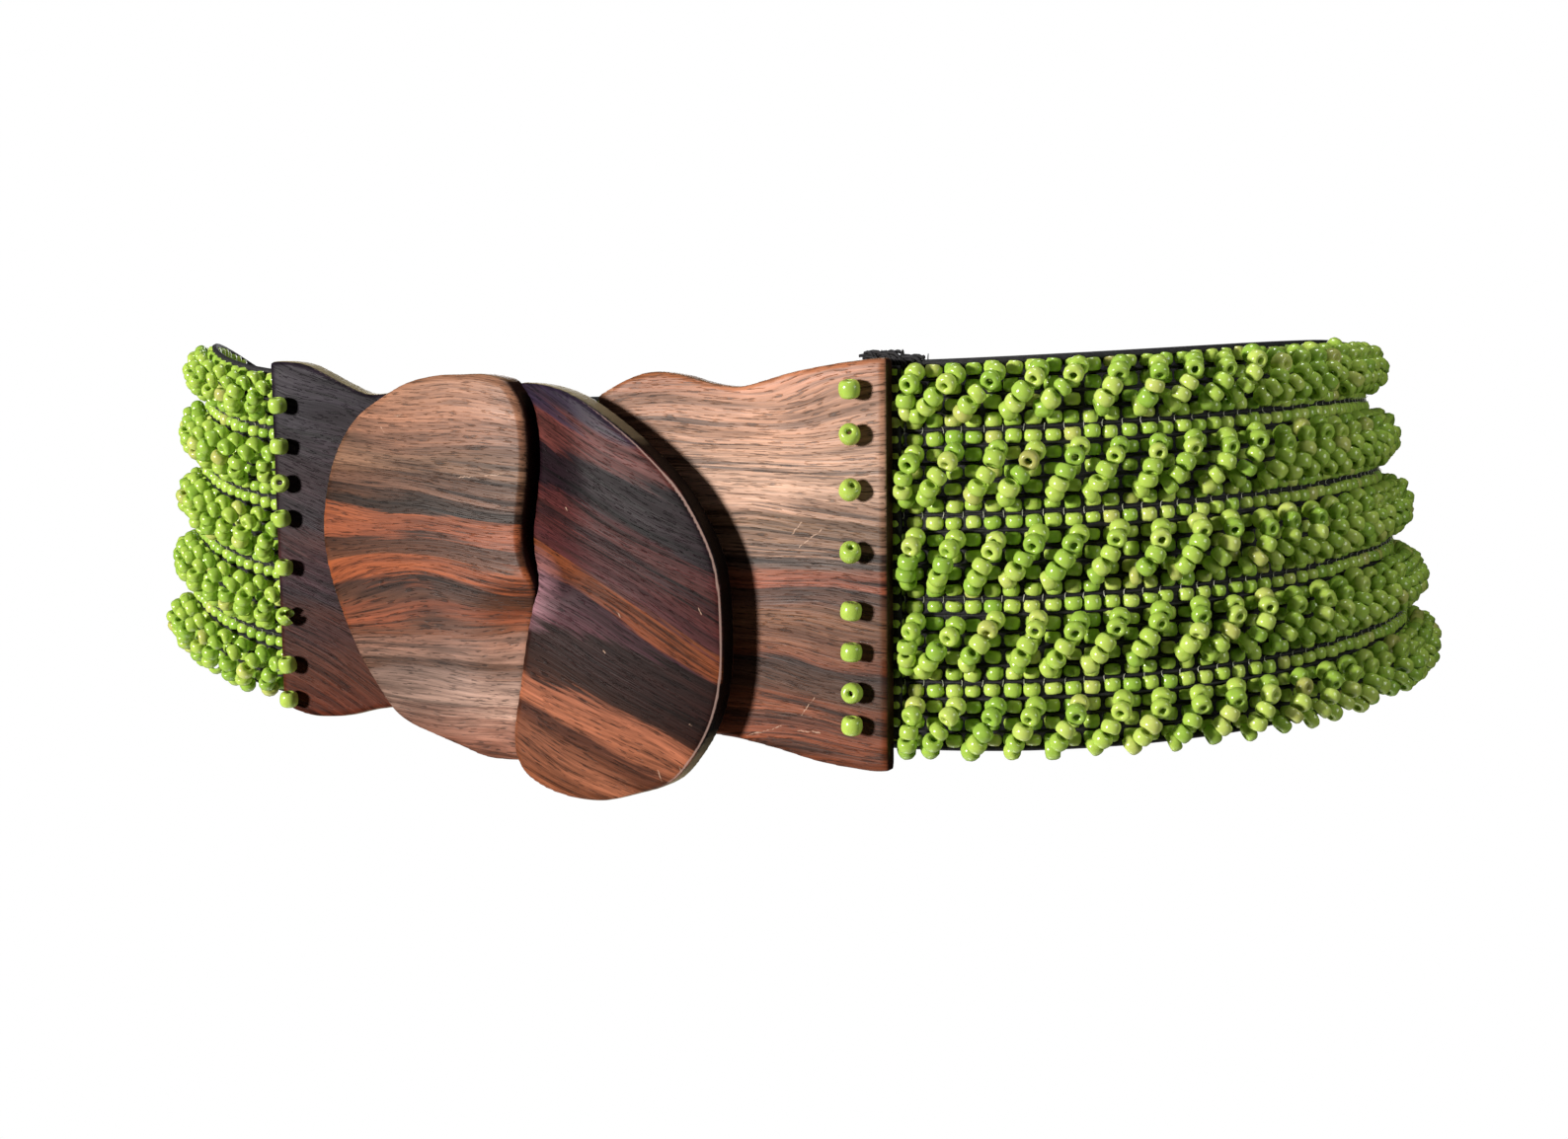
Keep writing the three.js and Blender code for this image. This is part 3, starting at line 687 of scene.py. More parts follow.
def stretch_cords():
    """The black elastic cords that run round the belt between the rows, and along both edges."""
    runs = np.linspace(RIGHT_EDGE - BAND_TUCK + 0.3, LEFT_EDGE + BAND_TUCK - 0.3, 130)
    total = sum(LOBE_ROWS)
    cords = []
    for i in range(total + 1):
        edge = i in (0, total)
        half_height = EDGE_CORD_RADIUS if edge else CORD_HALF_HEIGHT
        half_depth = EDGE_CORD_RADIUS if edge else CORD_HALF_DEPTH
        inset = 0.2 * (1 if i == 0 else -1) if edge else 0
        up = BAND_WIDTH / 2 - i * ROW_PITCH - inset
        turn = np.arange(6) * math.pi / 3 + math.pi / 6
        sections = []
        for run in runs:
            ups = up + half_height * np.sin(turn)
            outs = -SEAT_CLEARANCE - WEB_THICKNESS / 2 + half_depth * np.cos(turn)
            sections.append(band_frame(np.full(6, run), ups, outs)[0])
        cords.append(ribbon(f"cord_{i}", sections))
    return join("stretch_cords", cords)


def thread_web_and_shade_sheet():
    """The dark weave of sewing threads at the middle of the band's thickness, a sheet that also puts painted
    shade in the gaps between the beads.
    """
    runs = np.linspace(RIGHT_EDGE - BAND_TUCK + 0.2, LEFT_EDGE + BAND_TUCK - 0.2, 180)
    half = BAND_WIDTH / 2 - 0.5
    middle = -SEAT_CLEARANCE - WEB_THICKNESS / 2
    sections = []
    for run in runs:
        ups = np.array([half, -half, -half, half])
        outs = middle + np.array([0.15, 0.15, -0.15, -0.15])
        sections.append(band_frame(np.full(4, run), ups, outs)[0])
    return ribbon("thread_web_and_shade_sheet", sections)


TUCK_RIDGE = 0.3
TUCK_DIP = 0.45
TUCK_POINTS = 93
TUCK_SECTIONS = 12


def tucked_ends():
    """The elastic folded flat behind each plate, where the band is sewn on."""
    ends = []
    for label, first, last in (
        ("right", RIGHT_EDGE - BAND_TUCK + 0.1, RIGHT_EDGE + 0.5),
        ("left", LEFT_EDGE - 0.5, LEFT_EDGE + BAND_TUCK - 0.1),
    ):
        sections = []
        for run in np.linspace(first, last, TUCK_SECTIONS):
            runs = np.full(TUCK_POINTS, run)
            ups = np.linspace(BAND_WIDTH / 2 - 0.4, -BAND_WIDTH / 2 + 0.4, TUCK_POINTS)
            ridge = TUCK_RIDGE * np.abs(np.sin((ups / ROW_PITCH) * math.pi))
            front = -SEAT_CLEARANCE - TUCK_DIP + ridge
            back = -SEAT_CLEARANCE - WEB_THICKNESS + TUCK_DIP - ridge[::-1]
            front_points = band_frame(runs, ups, front)[0]
            back_points = band_frame(runs, ups[::-1], back)[0]
            sections.append(np.vstack([front_points, back_points]))
        ends.append(ribbon(f"end_{label}", sections))
    return join("tucked_ends", ends)


TICK_SIDES = 5
TICK_RADIUS = 0.06
# Along each tick: height beside its cord, and how far it stands out
TICK_RINGS = ((-0.6, -0.5), (-0.32, 0), (0.32, 0), (0.6, -0.5))


def thread_ticks():
    """Clear sewing thread crossing the cord at each boundary between lobes."""
    rng = np.random.default_rng(SEED + 30)
    runs, ups = [], []
    row = 0
    for count in LOBE_ROWS[:-1]:
        row += count
        edge = BAND_WIDTH / 2 - row * ROW_PITCH
        found = columns()[:-1] + COLUMN_PITCH / 2
        runs.append(found + rng.normal(0, 0.15, len(found)))
        ups.append(np.full(len(found), edge))
    runs, ups = np.concatenate(runs), np.concatenate(ups)
    outs = np.full(len(runs), -SEAT_CLEARANCE - WEB_THICKNESS / 2 + CORD_HALF_DEPTH + 0.05)
    places, along, upward, outward = band_frame(runs, ups, outs)
    sides = TICK_SIDES
    turn = np.arange(sides) * 2 * math.pi / sides
    ring = np.stack([TICK_RADIUS * np.cos(turn), TICK_RADIUS * np.sin(turn), 0 * turn], -1)
    vertices = np.vstack([ring + np.array([0, dip, height]) for height, dip in TICK_RINGS])
    quads = np.array([
        (i * sides + j, i * sides + (j + 1) % sides, (i + 1) * sides + (j + 1) % sides, (i + 1) * sides + j)
        for i in range(len(TICK_RINGS) - 1) for j in range(sides)
    ])
    axes = upward + along * rng.normal(0, 0.12, (len(runs), 1))
    moved, faces = scatter((vertices, quads), places, axes, along, np.ones((len(runs), 3)))
    return mesh_object("thread_ticks", moved, faces)


STRANDS = 60
STRAND_SIDES = 5
STRAND_THICKNESS = 0.55


def frayed_ends():
    """Cut ends of the elastic, in a clump behind the right plate's upper outer corner."""
    rng = np.random.default_rng(SEED + 40)
    strands = []
    turn = np.arange(STRAND_SIDES) * 2 * math.pi / STRAND_SIDES
    for i in range(STRANDS):
        start = RIGHT_EDGE + rng.uniform(-5, 5)
        lean = rng.uniform(-4.5, 0.5)
        reach = rng.uniform(0.9, 2.2) * (0.6 if start > RIGHT_EDGE + 1 else 1)
        out = -SEAT_CLEARANCE - rng.uniform(0.8, 2.4)
        sections = []
        for t in np.linspace(0, 1, 7):
            thick = STRAND_THICKNESS * (1 - 0.5 * t)
            ups = BAND_WIDTH / 2 - 1 + (1 + reach) * math.sin(1.9 * t) + thick * np.sin(turn)
            runs = np.full(STRAND_SIDES, start + lean * t * t)
            sections.append(band_frame(runs, ups, out + thick * np.cos(turn))[0])
        strands.append(ribbon(f"strand_{i}", sections))
    return join("frayed_ends", strands)


# The left plate's sixth bead has a notch
CHIPPED_BEAD = ("left", 5)
CHIP = math.radians(75)
STITCH_STAND_OFF = 0.15


def stitch_beads(label, rows, across, lift):
    beads = []
    for i, (up, yaw, pitch) in enumerate(rows):
        chip = CHIP if (label, i) == CHIPPED_BEAD else 0.0
        vertices, quads = bead_shape(STITCH_RADIUS, STITCH_HOLE, STITCH_LENGTH, 28, 18, chip)
        pitch_turn = Matrix.Rotation(math.radians(pitch), 3, "X")
        yaw_turn = Matrix.Rotation(math.radians(yaw), 3, "Y")
        lie = Matrix.Rotation(-math.pi / 2, 3, "X")
        back = Matrix.Rotation(math.pi / 2, 3, "X")
        turn = np.array(back @ yaw_turn @ pitch_turn @ lie)
        vertices = vertices @ turn.T
        front = -PLATE_THICKNESS - STITCH_STAND_OFF
        place = CLASP_ORIGIN + np.array([across, front - vertices[:, 1].max(), up * PLATE_HEIGHT / 2 + lift])
        bead = mesh_object(f"glass_stitch_bead_{label}_{i + 1}", vertices + place, quads)
        float_attribute(bead, "tint", np.full(len(vertices), 0.35 + 0.3 * ((i * 7) % 5) / 5))
        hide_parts(f"stitch_bead_{label}_{i + 1}")
        beads.append(bead)
    return beads


# Materials

class Nodes:
    """A material's node tree, with short names for the nodes that these materials use."""

    def __init__(self, name):
        self.material = bpy.data.materials.new(name)
        self.material.use_nodes = True
        self.tree = self.material.node_tree
        self.shader = self.tree.nodes["Principled BSDF"]

    def add(self, kind, **values):
        node = self.tree.nodes.new(kind)
        for key, value in values.items():
            setattr(node, key, value)
        return node

    def link(self, source, target):
        self.tree.links.new(source, target)

    def math(self, operation, a, b=0.0, clamp=False):
        node = self.add("ShaderNodeMath", operation=operation, use_clamp=clamp)
        for socket, value in zip(node.inputs, (a, b)):
            if isinstance(value, (int, float)):
                socket.default_value = value
            else:
                self.link(value, socket)
        return node.outputs[0]

    def vector(self, operation, a, b):
        node = self.add("ShaderNodeVectorMath", operation=operation)
        for socket, value in zip(node.inputs, (a, b)):
            if isinstance(value, tuple):
                socket.default_value = value
            else:
                self.link(value, socket)
        return node.outputs["Value" if operation in ("DOT_PRODUCT", "DISTANCE") else "Vector"]

    def place(self):
        return self.add("ShaderNodeTexCoord").outputs["Object"]

    def mapped(self, scale, rotation=0.0, source=None):
        source = self.place() if source is None else source
        mapping = self.add("ShaderNodeMapping")
        mapping.inputs["Rotation"].default_value = (0, -rotation, 0)
        turned = self.add("ShaderNodeMapping")
        turned.inputs["Scale"].default_value = scale
        self.link(source, mapping.inputs["Vector"])
        self.link(mapping.outputs["Vector"], turned.inputs["Vector"])
        return turned.outputs["Vector"]

    def noise(self, vector, scale=1.0, detail=4.0, roughness=0.5, distortion=0.0):
        node = self.add("ShaderNodeTexNoise")
        node.inputs["Scale"].default_value = scale
        node.inputs["Detail"].default_value = detail
        node.inputs["Roughness"].default_value = roughness
        node.inputs["Distortion"].default_value = distortion
        self.link(vector, node.inputs["Vector"])
        return node.outputs["Fac"]

    def ramp(self, factor, stops, interpolation="LINEAR"):
        node = self.add("ShaderNodeValToRGB")
        ramp = node.color_ramp
        ramp.interpolation = interpolation
        while len(ramp.elements) < len(stops):
            ramp.elements.new(0.5)
        for element, (place, colour) in zip(ramp.elements, sorted(stops, key=lambda s: s[0])):
            element.position = place
            element.color = colour if not isinstance(colour, (int, float)) else (colour,) * 3 + (1,)
        self.link(factor, node.inputs["Fac"])
        return node.outputs["Color"]

    def mix(self, factor, a, b, blend="MIX"):
        node = self.add("ShaderNodeMix", data_type="RGBA", blend_type=blend)
        for socket, value in ((node.inputs[0], factor), (node.inputs[6], a), (node.inputs[7], b)):
            if isinstance(value, (int, float)):
                socket.default_value = value
            elif isinstance(value, (list, tuple)):
                socket.default_value = value
            else:
                self.link(value, socket)
        return node.outputs[2]

    def bump(self, height, strength, distance):
        node = self.add("ShaderNodeBump")
        node.inputs["Strength"].default_value = strength
        node.inputs["Distance"].default_value = distance
        self.link(height, node.inputs["Height"])
        self.link(node.outputs["Normal"], self.shader.inputs["Normal"])


# Stripes of the wood: height in millimetres at the hook's middle, and the colour there. The palest stripes of
# the light petal (about -25 to -32 mm) and of the right plate (about 11 to 24 mm) hold painted sheen as well
# as the wood's own tone.
LIGHT_PETAL_STRIPES_AND_SHEEN = (
    (33, "a1745b"), (25, "9a6b53"), (19.5, "74513f"), (16, "87644e"), (13, "583b2b"), (11, "714f3e"),
    (9, "4e3427"), (7, "30221b"), (5.1, "35261f"), (4.4, "965334"), (0.3, "8d4d33"), (-1, "4a2f23"),
    (-3.4, "603b29"), (-4.8, "995230"), (-7.4, "8e4b2d"), (-9, "462e25"), (-11.4, "5c3a29"),
    (-13.4, "8e4d33"), (-16, "704632"), (-18, "966c5a"), (-21.5, "9e7867"), (-23.4, "6c4c3c"),
    (-25.6, "a8887a"), (-29, "ae8c7c"), (-32, "9c7261"), (-35.4, "966350"), (-39, "7e503e"),
)
RIGHT_PLATE_STRIPES_AND_SHEEN = (
    (35, "aa6b47"), (33, "b17150"), (28, "c48f72"), (23.5, "bd8c70"), (18.6, "c69a80"), (14, "caa087"),
    (11, "ae846c"), (8.7, "78583f"), (6, "8c6a55"), (3.8, "96705a"), (1.6, "503e35"), (0, "644a3e"),
    (-1.7, "90543c"), (-3.9, "92513a"), (-5.6, "3f2c26"), (-7.7, "6e4938"), (-10.5, "80563c"),
    (-15, "7c503a"), (-18.5, "7a4229"), (-20.3, "3a2a25"), (-22.5, "563a2d"), (-25, "5a3b2b"),
    (-26.9, "864b31"), (-29.1, "3c261c"), (-31.3, "8c4d34"), (-33.5, "8a4728"), (-34.6, "43281c"),
    (-36.4, "864a31"),
)
DARK_PETAL_STRIPES = (
    (32.5, "2c2232"), (31, "3a2732"), (29.6, "62332f"), (25, "552c28"), (23.2, "1d1016"),
    (17.4, "1e1117"), (16.2, "4c2424"), (12.9, "4a2421"), (11.7, "2b171a"), (10, "4a2321"),
    (6, "482426"), (3.8, "4c2826"), (2.6, "7c4225"), (-1.4, "703a22"), (-2.8, "3c2028"),
    (-6, "4a2c32"), (-12, "502c32"), (-17, "4e2b24"), (-20, "a16147"), (-25.3, "985b40"),
    (-27.4, "4e2c20"), (-30, "6c3e2a"), (-31.7, "9e6146"), (-36.3, "74432c"), (-38, "9e6146"),
    (-43, "603822"),
)
LEFT_PLATE_STRIPES = (
    (37, "261f28"), (26, "231c25"), (14, "29191f"), (6, "231a20"), (1, "3f2322"), (-4, "392026"),
    (-10, "281a1f"), (-15, "46261f"), (-20, "3f2320"), (-24, "4c2a20"), (-30, "50291b"), (-36, "58291a"),
)
STRIPE_LOW, STRIPE_HIGH = -48.0, 48.0
LIGHT_SLOPE = 0.028
DARK_SLOPE_ABOVE = 0.3
DARK_SLOPE_BELOW = 0.42
# A dark wedge in the dark petal: height at the hook's middle and fall per millimetre, above and below
WEDGE_TOP = (-11.8, 0.19)
WEDGE_FOOT = (-20, 0.42)
WEDGE_COLOUR = "22130f"
# A painted purple sheen, a painted highlight where the dark petal dips: place beside the hook's middle,
# height and reach
PAINTED_SHEEN_X, PAINTED_SHEEN_Z, PAINTED_SHEEN_REACH = 5, -8.5, 8
PAINTED_SHEEN_COLOUR = "a47a83"
# Where the right plate's face is palest with painted sheen, beside the hook's middle
PLATE_SHEEN_X, PLATE_SHEEN_REACH = 50, 34


# Scratches on each half's face: both ends, in the clasp's own millimetres to the right and up
LIGHT_SCRATCHES = (
    (58.4, 6.2, 56.4, 4.1), (62.3, 5.0, 57.8, 1.6), (60.6, -25.2, 58.0, -28.5),
    (53.7, -30.9, 46.7, -33.2), (57.1, -31.4, 61.6, -31.4), (-3.9, 14.2, 0.2, 14.6),
    (-10.1, 13.9, -6.5, 14.1), (-25.2, 25.4, -23.6, 25.8), (-28.9, 23.3, -28.0, 22.2),
)
DARK_SCRATCHES = (
    (24.7, -10.2, 25.4, -11.1), (41.4, -9.1, 41.9, -10.1), (13.6, 8.4, 14.0, 7.9),
    (32.3, -39.3, 33.0, -41.2), (21.6, -17.7, 22.0, -18.2), (39.0, -30.2, 39.4, -30.6),
    (36.7, -38.4, 37.0, -39.3),
)
SCRATCH_REACH = 0.16
SCRATCH_WAVE = 0.9
SCRATCH_COLOUR = "c8a58e"


def scratched(nodes, colour, marks):
    """Thin pale scratches, a little wavy and broken."""
    wave = nodes.noise(nodes.mapped((900, 900, 900)), detail=1)
    shift = nodes.math("MULTIPLY", nodes.math("SUBTRACT", wave, 0.5), SCRATCH_WAVE * MM)
    offset = nodes.add("ShaderNodeCombineXYZ")
    nodes.link(shift, offset.inputs["Z"])
    spot = nodes.vector("ADD", nodes.vector("MULTIPLY", nodes.place(), (1.0, 0.0, 1.0)), offset.outputs[0])
    mask = 0.0
    for start_x, start_z, end_x, end_z in marks:
        run = ((end_x - start_x) * MM, 0.0, (end_z - start_z) * MM)
        square = run[0] ** 2 + run[2] ** 2
        away = nodes.vector("SUBTRACT", spot, ((start_x + HOOK_X) * MM, 0.0, start_z * MM))
        along = nodes.vector("DOT_PRODUCT", away, (run[0] / square, 0.0, run[2] / square))
        along = nodes.math("ADD", along, 0.0, clamp=True)
        nearest = nodes.add("ShaderNodeCombineXYZ")
        nodes.link(nodes.math("MULTIPLY", along, run[0]), nearest.inputs["X"])
        nodes.link(nodes.math("MULTIPLY", along, run[2]), nearest.inputs["Z"])
        gap = nodes.vector("DISTANCE", away, nearest.outputs[0])
        line = nodes.math("SUBTRACT", 1.0, nodes.math("DIVIDE", gap, SCRATCH_REACH * MM), clamp=True)
        mask = nodes.math("MAXIMUM", line, mask)
    broken = nodes.ramp(nodes.noise(nodes.mapped((1600, 1600, 1600)), detail=1), ((0.4, 0.15), (0.56, 0.9)))
    return nodes.mix(nodes.math("MULTIPLY", mask, broken), colour, linear(SCRATCH_COLOUR))


def stripe_colours(nodes, height, stripes):
    """Colour by a height in metres."""
    low, high = STRIPE_LOW * MM, STRIPE_HIGH * MM
    share = nodes.math("DIVIDE", nodes.math("SUBTRACT", height, low), high - low, clamp=True)
    stops = [((mm - STRIPE_LOW) / (STRIPE_HIGH - STRIPE_LOW), linear(code)) for mm, code in stripes]
    return nodes.ramp(share, stops)


# How far, in millimetres, the noises move the grain and the stripes up and down
GRAIN_BEND = 18
STRIPE_WANDER = 10
STRIPE_JITTER = 12


def wood_grain(nodes, slope):
    """Noises drawn out along the gently bent grain, and the place on the clasp."""
    angle = math.atan(slope)
    separate = nodes.add("ShaderNodeSeparateXYZ")
    nodes.link(nodes.place(), separate.inputs[0])
    flow = nodes.noise(nodes.mapped((16, 20, 36), angle), detail=1.5, roughness=0.45)
    bend = nodes.math("MULTIPLY", nodes.math("SUBTRACT", flow, 0.5), GRAIN_BEND * MM)
    bent = nodes.add("ShaderNodeCombineXYZ")
    nodes.link(separate.outputs["X"], bent.inputs["X"])
    nodes.link(separate.outputs["Y"], bent.inputs["Y"])
    nodes.link(nodes.math("ADD", separate.outputs["Z"], bend), bent.inputs["Z"])
    bent = bent.outputs[0]
    grain = {
        "broad": nodes.noise(nodes.mapped((9, 30, 60), angle, bent), detail=3, roughness=0.55),
        "streaks": nodes.noise(
            nodes.mapped((28, 120, 560), angle, bent), detail=5, roughness=0.62, distortion=0.15,
        ),
        "lines": nodes.noise(
            nodes.mapped((22, 90, 1250), angle, bent), detail=2, roughness=0.5, distortion=0.1,
        ),
        "fine": nodes.noise(nodes.mapped((90, 400, 2600), angle, bent), detail=3, roughness=0.65),
        "pores": nodes.noise(nodes.mapped((300, 1500, 3900), angle, bent), detail=1.5, roughness=0.5),
    }
    grain["x"] = nodes.math("SUBTRACT", separate.outputs["X"], HOOK_X * MM)
    wander = nodes.math("MULTIPLY", nodes.math("SUBTRACT", grain["broad"], 0.5), STRIPE_WANDER * MM)
    jitter = nodes.math("MULTIPLY", nodes.math("SUBTRACT", grain["streaks"], 0.5), STRIPE_JITTER * MM)
    level = nodes.math("ADD", separate.outputs["Z"], nodes.math("MULTIPLY", bend, 0.6))
    grain["z"] = nodes.math("ADD", level, nodes.math("ADD", wander, jitter))
    return grain


def below(nodes, grain, line):
    """Soft mask of what lies below a falling line on the clasp's face."""
    start, fall = line
    edge = nodes.math("SUBTRACT", start * MM, nodes.math("MULTIPLY", grain["x"], fall))
    return nodes.math("MULTIPLY", nodes.math("SUBTRACT", edge, grain["z"]), 900.0, clamp=True)


def light_figure(nodes, grain):
    height = nodes.math("ADD", grain["z"], nodes.math("MULTIPLY", grain["x"], LIGHT_SLOPE))
    on_plate = nodes.math("GREATER_THAN", grain["x"], 0.02)
    petal = stripe_colours(nodes, height, LIGHT_PETAL_STRIPES_AND_SHEEN)
    # Painted sheen and shade on the light petal's lower part: brighter next to the dark petal, darker towards
    # the left rim.
    low = nodes.math("MULTIPLY", nodes.math("SUBTRACT", -0.012, grain["z"]), 90.0, clamp=True)
    left = nodes.math("DIVIDE", grain["x"], -LIGHT_PETAL_REACH * MM, clamp=True)
    sheen_and_shade = nodes.ramp(left, ((0.1, 1.2), (0.35, 0.72), (0.7, 0.5)))
    petal = nodes.mix(low, petal, nodes.mix(1.0, petal, sheen_and_shade, "MULTIPLY"))
    plate = stripe_colours(nodes, grain["z"], RIGHT_PLATE_STRIPES_AND_SHEEN)
    # Painted sheen on the right plate: palest at one place across it, darker further to either side.
    aside = nodes.math("ABSOLUTE", nodes.math("SUBTRACT", grain["x"], PLATE_SHEEN_X * MM))
    sheen_and_shade = nodes.ramp(nodes.math("DIVIDE", aside, PLATE_SHEEN_REACH * MM), ((0.1, 1.05), (0.45, 0.82), (1.0, 0.6)))
    plate = nodes.mix(1.0, plate, sheen_and_shade, "MULTIPLY")
    return nodes.mix(on_plate, petal, plate)


def dark_figure(nodes, grain):
    lower = nodes.math("MULTIPLY", nodes.math("SUBTRACT", 0.012, grain["z"]), 60.0, clamp=True)
    steeper = nodes.math("MULTIPLY", lower, DARK_SLOPE_BELOW - DARK_SLOPE_ABOVE)
    slope = nodes.math("ADD", steeper, DARK_SLOPE_ABOVE)
    height = nodes.math("ADD", grain["z"], nodes.math("MULTIPLY", grain["x"], slope))
    petal = stripe_colours(nodes, height, DARK_PETAL_STRIPES)
    under_top = below(nodes, grain, WEDGE_TOP)
    under_foot = below(nodes, grain, WEDGE_FOOT)
    inside = nodes.math("SUBTRACT", under_top, under_foot, clamp=True)
    petal = nodes.mix(nodes.math("MULTIPLY", inside, 0.92), petal, linear(WEDGE_COLOUR))
    # Painted sheen: a soft purple patch where the dark petal dips, standing in for a reflection.
    across = nodes.math("SUBTRACT", grain["x"], PAINTED_SHEEN_X * MM)
    upward = nodes.math("SUBTRACT", grain["z"], PAINTED_SHEEN_Z * MM)
    across_square = nodes.math("MULTIPLY", across, across)
    squares = nodes.math("ADD", across_square, nodes.math("MULTIPLY", upward, upward))
    away = nodes.math("DIVIDE", nodes.math("POWER", squares, 0.5), PAINTED_SHEEN_REACH * MM)
    petal = nodes.mix(nodes.ramp(away, ((0.15, 0.85), (1.0, 0.0))), petal, linear(PAINTED_SHEEN_COLOUR))
    plate = stripe_colours(nodes, grain["z"], LEFT_PLATE_STRIPES)
    on_plate = nodes.math("LESS_THAN", grain["x"], -0.012)
    return nodes.mix(on_plate, petal, plate)


RIM_HIGHLIGHT_COLOUR = "c8a79c"


def side_walls(nodes, colour, lit_wall, shaded_wall, rim_highlight):
    """End grain on the cut sides: painted light (olive) on walls facing up or down, painted shade (dark) on
    walls facing sideways, and a painted highlight on rims facing right.
    """
    facing = nodes.add("ShaderNodeSeparateXYZ")
    nodes.link(nodes.add("ShaderNodeTexCoord").outputs["Normal"], facing.inputs[0])
    sideways = nodes.math("SUBTRACT", 1.0, nodes.math("ABSOLUTE", facing.outputs["Y"]))
    wall = nodes.ramp(sideways, ((0.4, 0.0), (0.75, 1.0)))
    # Painted light and shade, chosen by the way each wall faces.
    rising = nodes.math("DIVIDE", nodes.math("ADD", facing.outputs["Z"], 1.0), 2.0)
    upright = nodes.ramp(rising, ((0.1, 1.0), (0.28, 0.0), (0.88, 0.0), (0.96, 1.0)))
    end_grain_lit_and_shaded = nodes.mix(upright, linear(shaded_wall), nodes.mix(0.7, colour, linear(lit_wall)))
    # Painted highlight along the rounded rims that face right.
    rim = nodes.ramp(sideways, ((0.05, 0.0), (0.14, 1.0), (0.3, 1.0), (0.42, 0.0)))
    rightward = nodes.ramp(facing.outputs["X"], ((0.3, 0.0), (0.45, 1.0)))
    rim = nodes.math("MULTIPLY", nodes.math("MULTIPLY", rim, rightward), rim_highlight)
    colour = nodes.mix(rim, colour, linear(RIM_HIGHLIGHT_COLOUR))
    return nodes.mix(wall, colour, end_grain_lit_and_shaded)


def rosewood(name, slope, figure, walls, gloss, marks):
    specular, roughness = gloss
    nodes = Nodes(name)
    grain = wood_grain(nodes, slope)
    colour = figure(nodes, grain)
    streak_shade = nodes.ramp(grain["streaks"], ((0.34, 0.5), (0.5, 1.0), (0.64, 1.3)))
    colour = nodes.mix(0.9, colour, streak_shade, "MULTIPLY")
    fine_shade = nodes.ramp(grain["fine"], ((0.34, 0.5), (0.53, 1.02), (0.68, 1.25)))
    colour = nodes.mix(0.85, colour, fine_shade, "MULTIPLY")
    line_shade = nodes.ramp(grain["lines"], ((0.33, 0.3), (0.385, 0.5), (0.42, 1.0)))
    clustered = nodes.ramp(grain["broad"], ((0.44, 0.15), (0.58, 0.95)))
    colour = nodes.mix(clustered, colour, line_shade, "MULTIPLY")
    pore_mask = nodes.ramp(grain["pores"], ((0.0, 0.18), (0.35, 0.28), (0.41, 1.0)))
    colour = nodes.mix(0.8, colour, pore_mask, "MULTIPLY")
    colour = scratched(nodes, colour, marks)
    colour = side_walls(nodes, colour, *walls)
    nodes.link(colour, nodes.shader.inputs["Base Color"])
    polish = nodes.ramp(grain["streaks"], ((0.35, roughness + 0.12), (0.65, roughness)))
    nodes.link(polish, nodes.shader.inputs["Roughness"])
    nodes.shader.inputs["Specular IOR Level"].default_value = specular
    fine_relief = nodes.math("MULTIPLY", grain["fine"], 0.6)
    relief = nodes.math("ADD", nodes.math("MULTIPLY", pore_mask, 0.7), fine_relief)
    nodes.bump(relief, 0.4, 0.00018)
    return nodes.material


def bead_glass(name, stops, roughness):
    nodes = Nodes(name)
    tint = nodes.add("ShaderNodeAttribute", attribute_name="tint")
    colour = nodes.ramp(tint.outputs["Fac"], [(place, linear(code)) for place, code in stops])
    mottle = nodes.noise(nodes.mapped((700, 700, 700)), detail=3)
    shade = nodes.ramp(mottle, ((0.3, 0.88), (0.7, 1.06)))
    colour = nodes.mix(0.7, colour, shade, "MULTIPLY")
    nodes.link(colour, nodes.shader.inputs["Base Color"])
    nodes.shader.inputs["Roughness"].default_value = roughness
    nodes.shader.inputs["Specular IOR Level"].default_value = 0.55
    nodes.shader.inputs["Subsurface Weight"].default_value = 0.08
    nodes.shader.inputs["Subsurface Radius"].default_value = (0.4, 1.0, 0.15)
    nodes.shader.inputs["Subsurface Scale"].default_value = 0.0006
    nodes.bump(mottle, 0.12, 0.0001)
    return nodes.material


def elastic(name, colour, roughness):
    nodes = Nodes(name)
    weave = nodes.noise(nodes.mapped((1500, 1500, 2600)), detail=3)
    shade = nodes.ramp(weave, ((0.35, linear(colour)), (0.75, linear("26242a"))))
    nodes.link(shade, nodes.shader.inputs["Base Color"])
    nodes.shader.inputs["Roughness"].default_value = roughness
    nodes.bump(weave, 0.6, 0.0003)
    return nodes.material


def clear_thread():
    nodes = Nodes("clear_thread")
    glint = nodes.noise(nodes.mapped((900, 900, 900)), detail=2)
    colour = nodes.ramp(glint, ((0.4, linear("a9ad98")), (0.65, linear("eceadb"))))
    nodes.link(colour, nodes.shader.inputs["Base Color"])
    nodes.shader.inputs["Roughness"].default_value = 0.3
    return nodes.material


GREEN_STOPS = (
    (0.0, "98bf48"), (0.2, "a9cb52"), (0.6, "bcd75e"), (0.88, "cade6e"),
    (0.95, "ccd672"), (0.99, "c6cb6c"), (1.0, "b4b264"),
)


def finish_piece(piece, material, slot, *nodes):
    piece.data.materials.clear()
    piece.data.materials.append(material)
    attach(piece, "root")
    if nodes:
        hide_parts(*nodes)


# Camera, fitted to the photo, in the clasp's own millimetres
CAMERA_PLACE = np.array([198.39, -289.29, 29.77])
CAMERA_BACK = Vector((0.44766, -0.88859, 0.10011))
CAMERA_ROLL = math.radians(-0.66)
CAMERA_FOCAL = 1815.0
IMAGE_WIDTH = 1588
SENSOR = 36.0


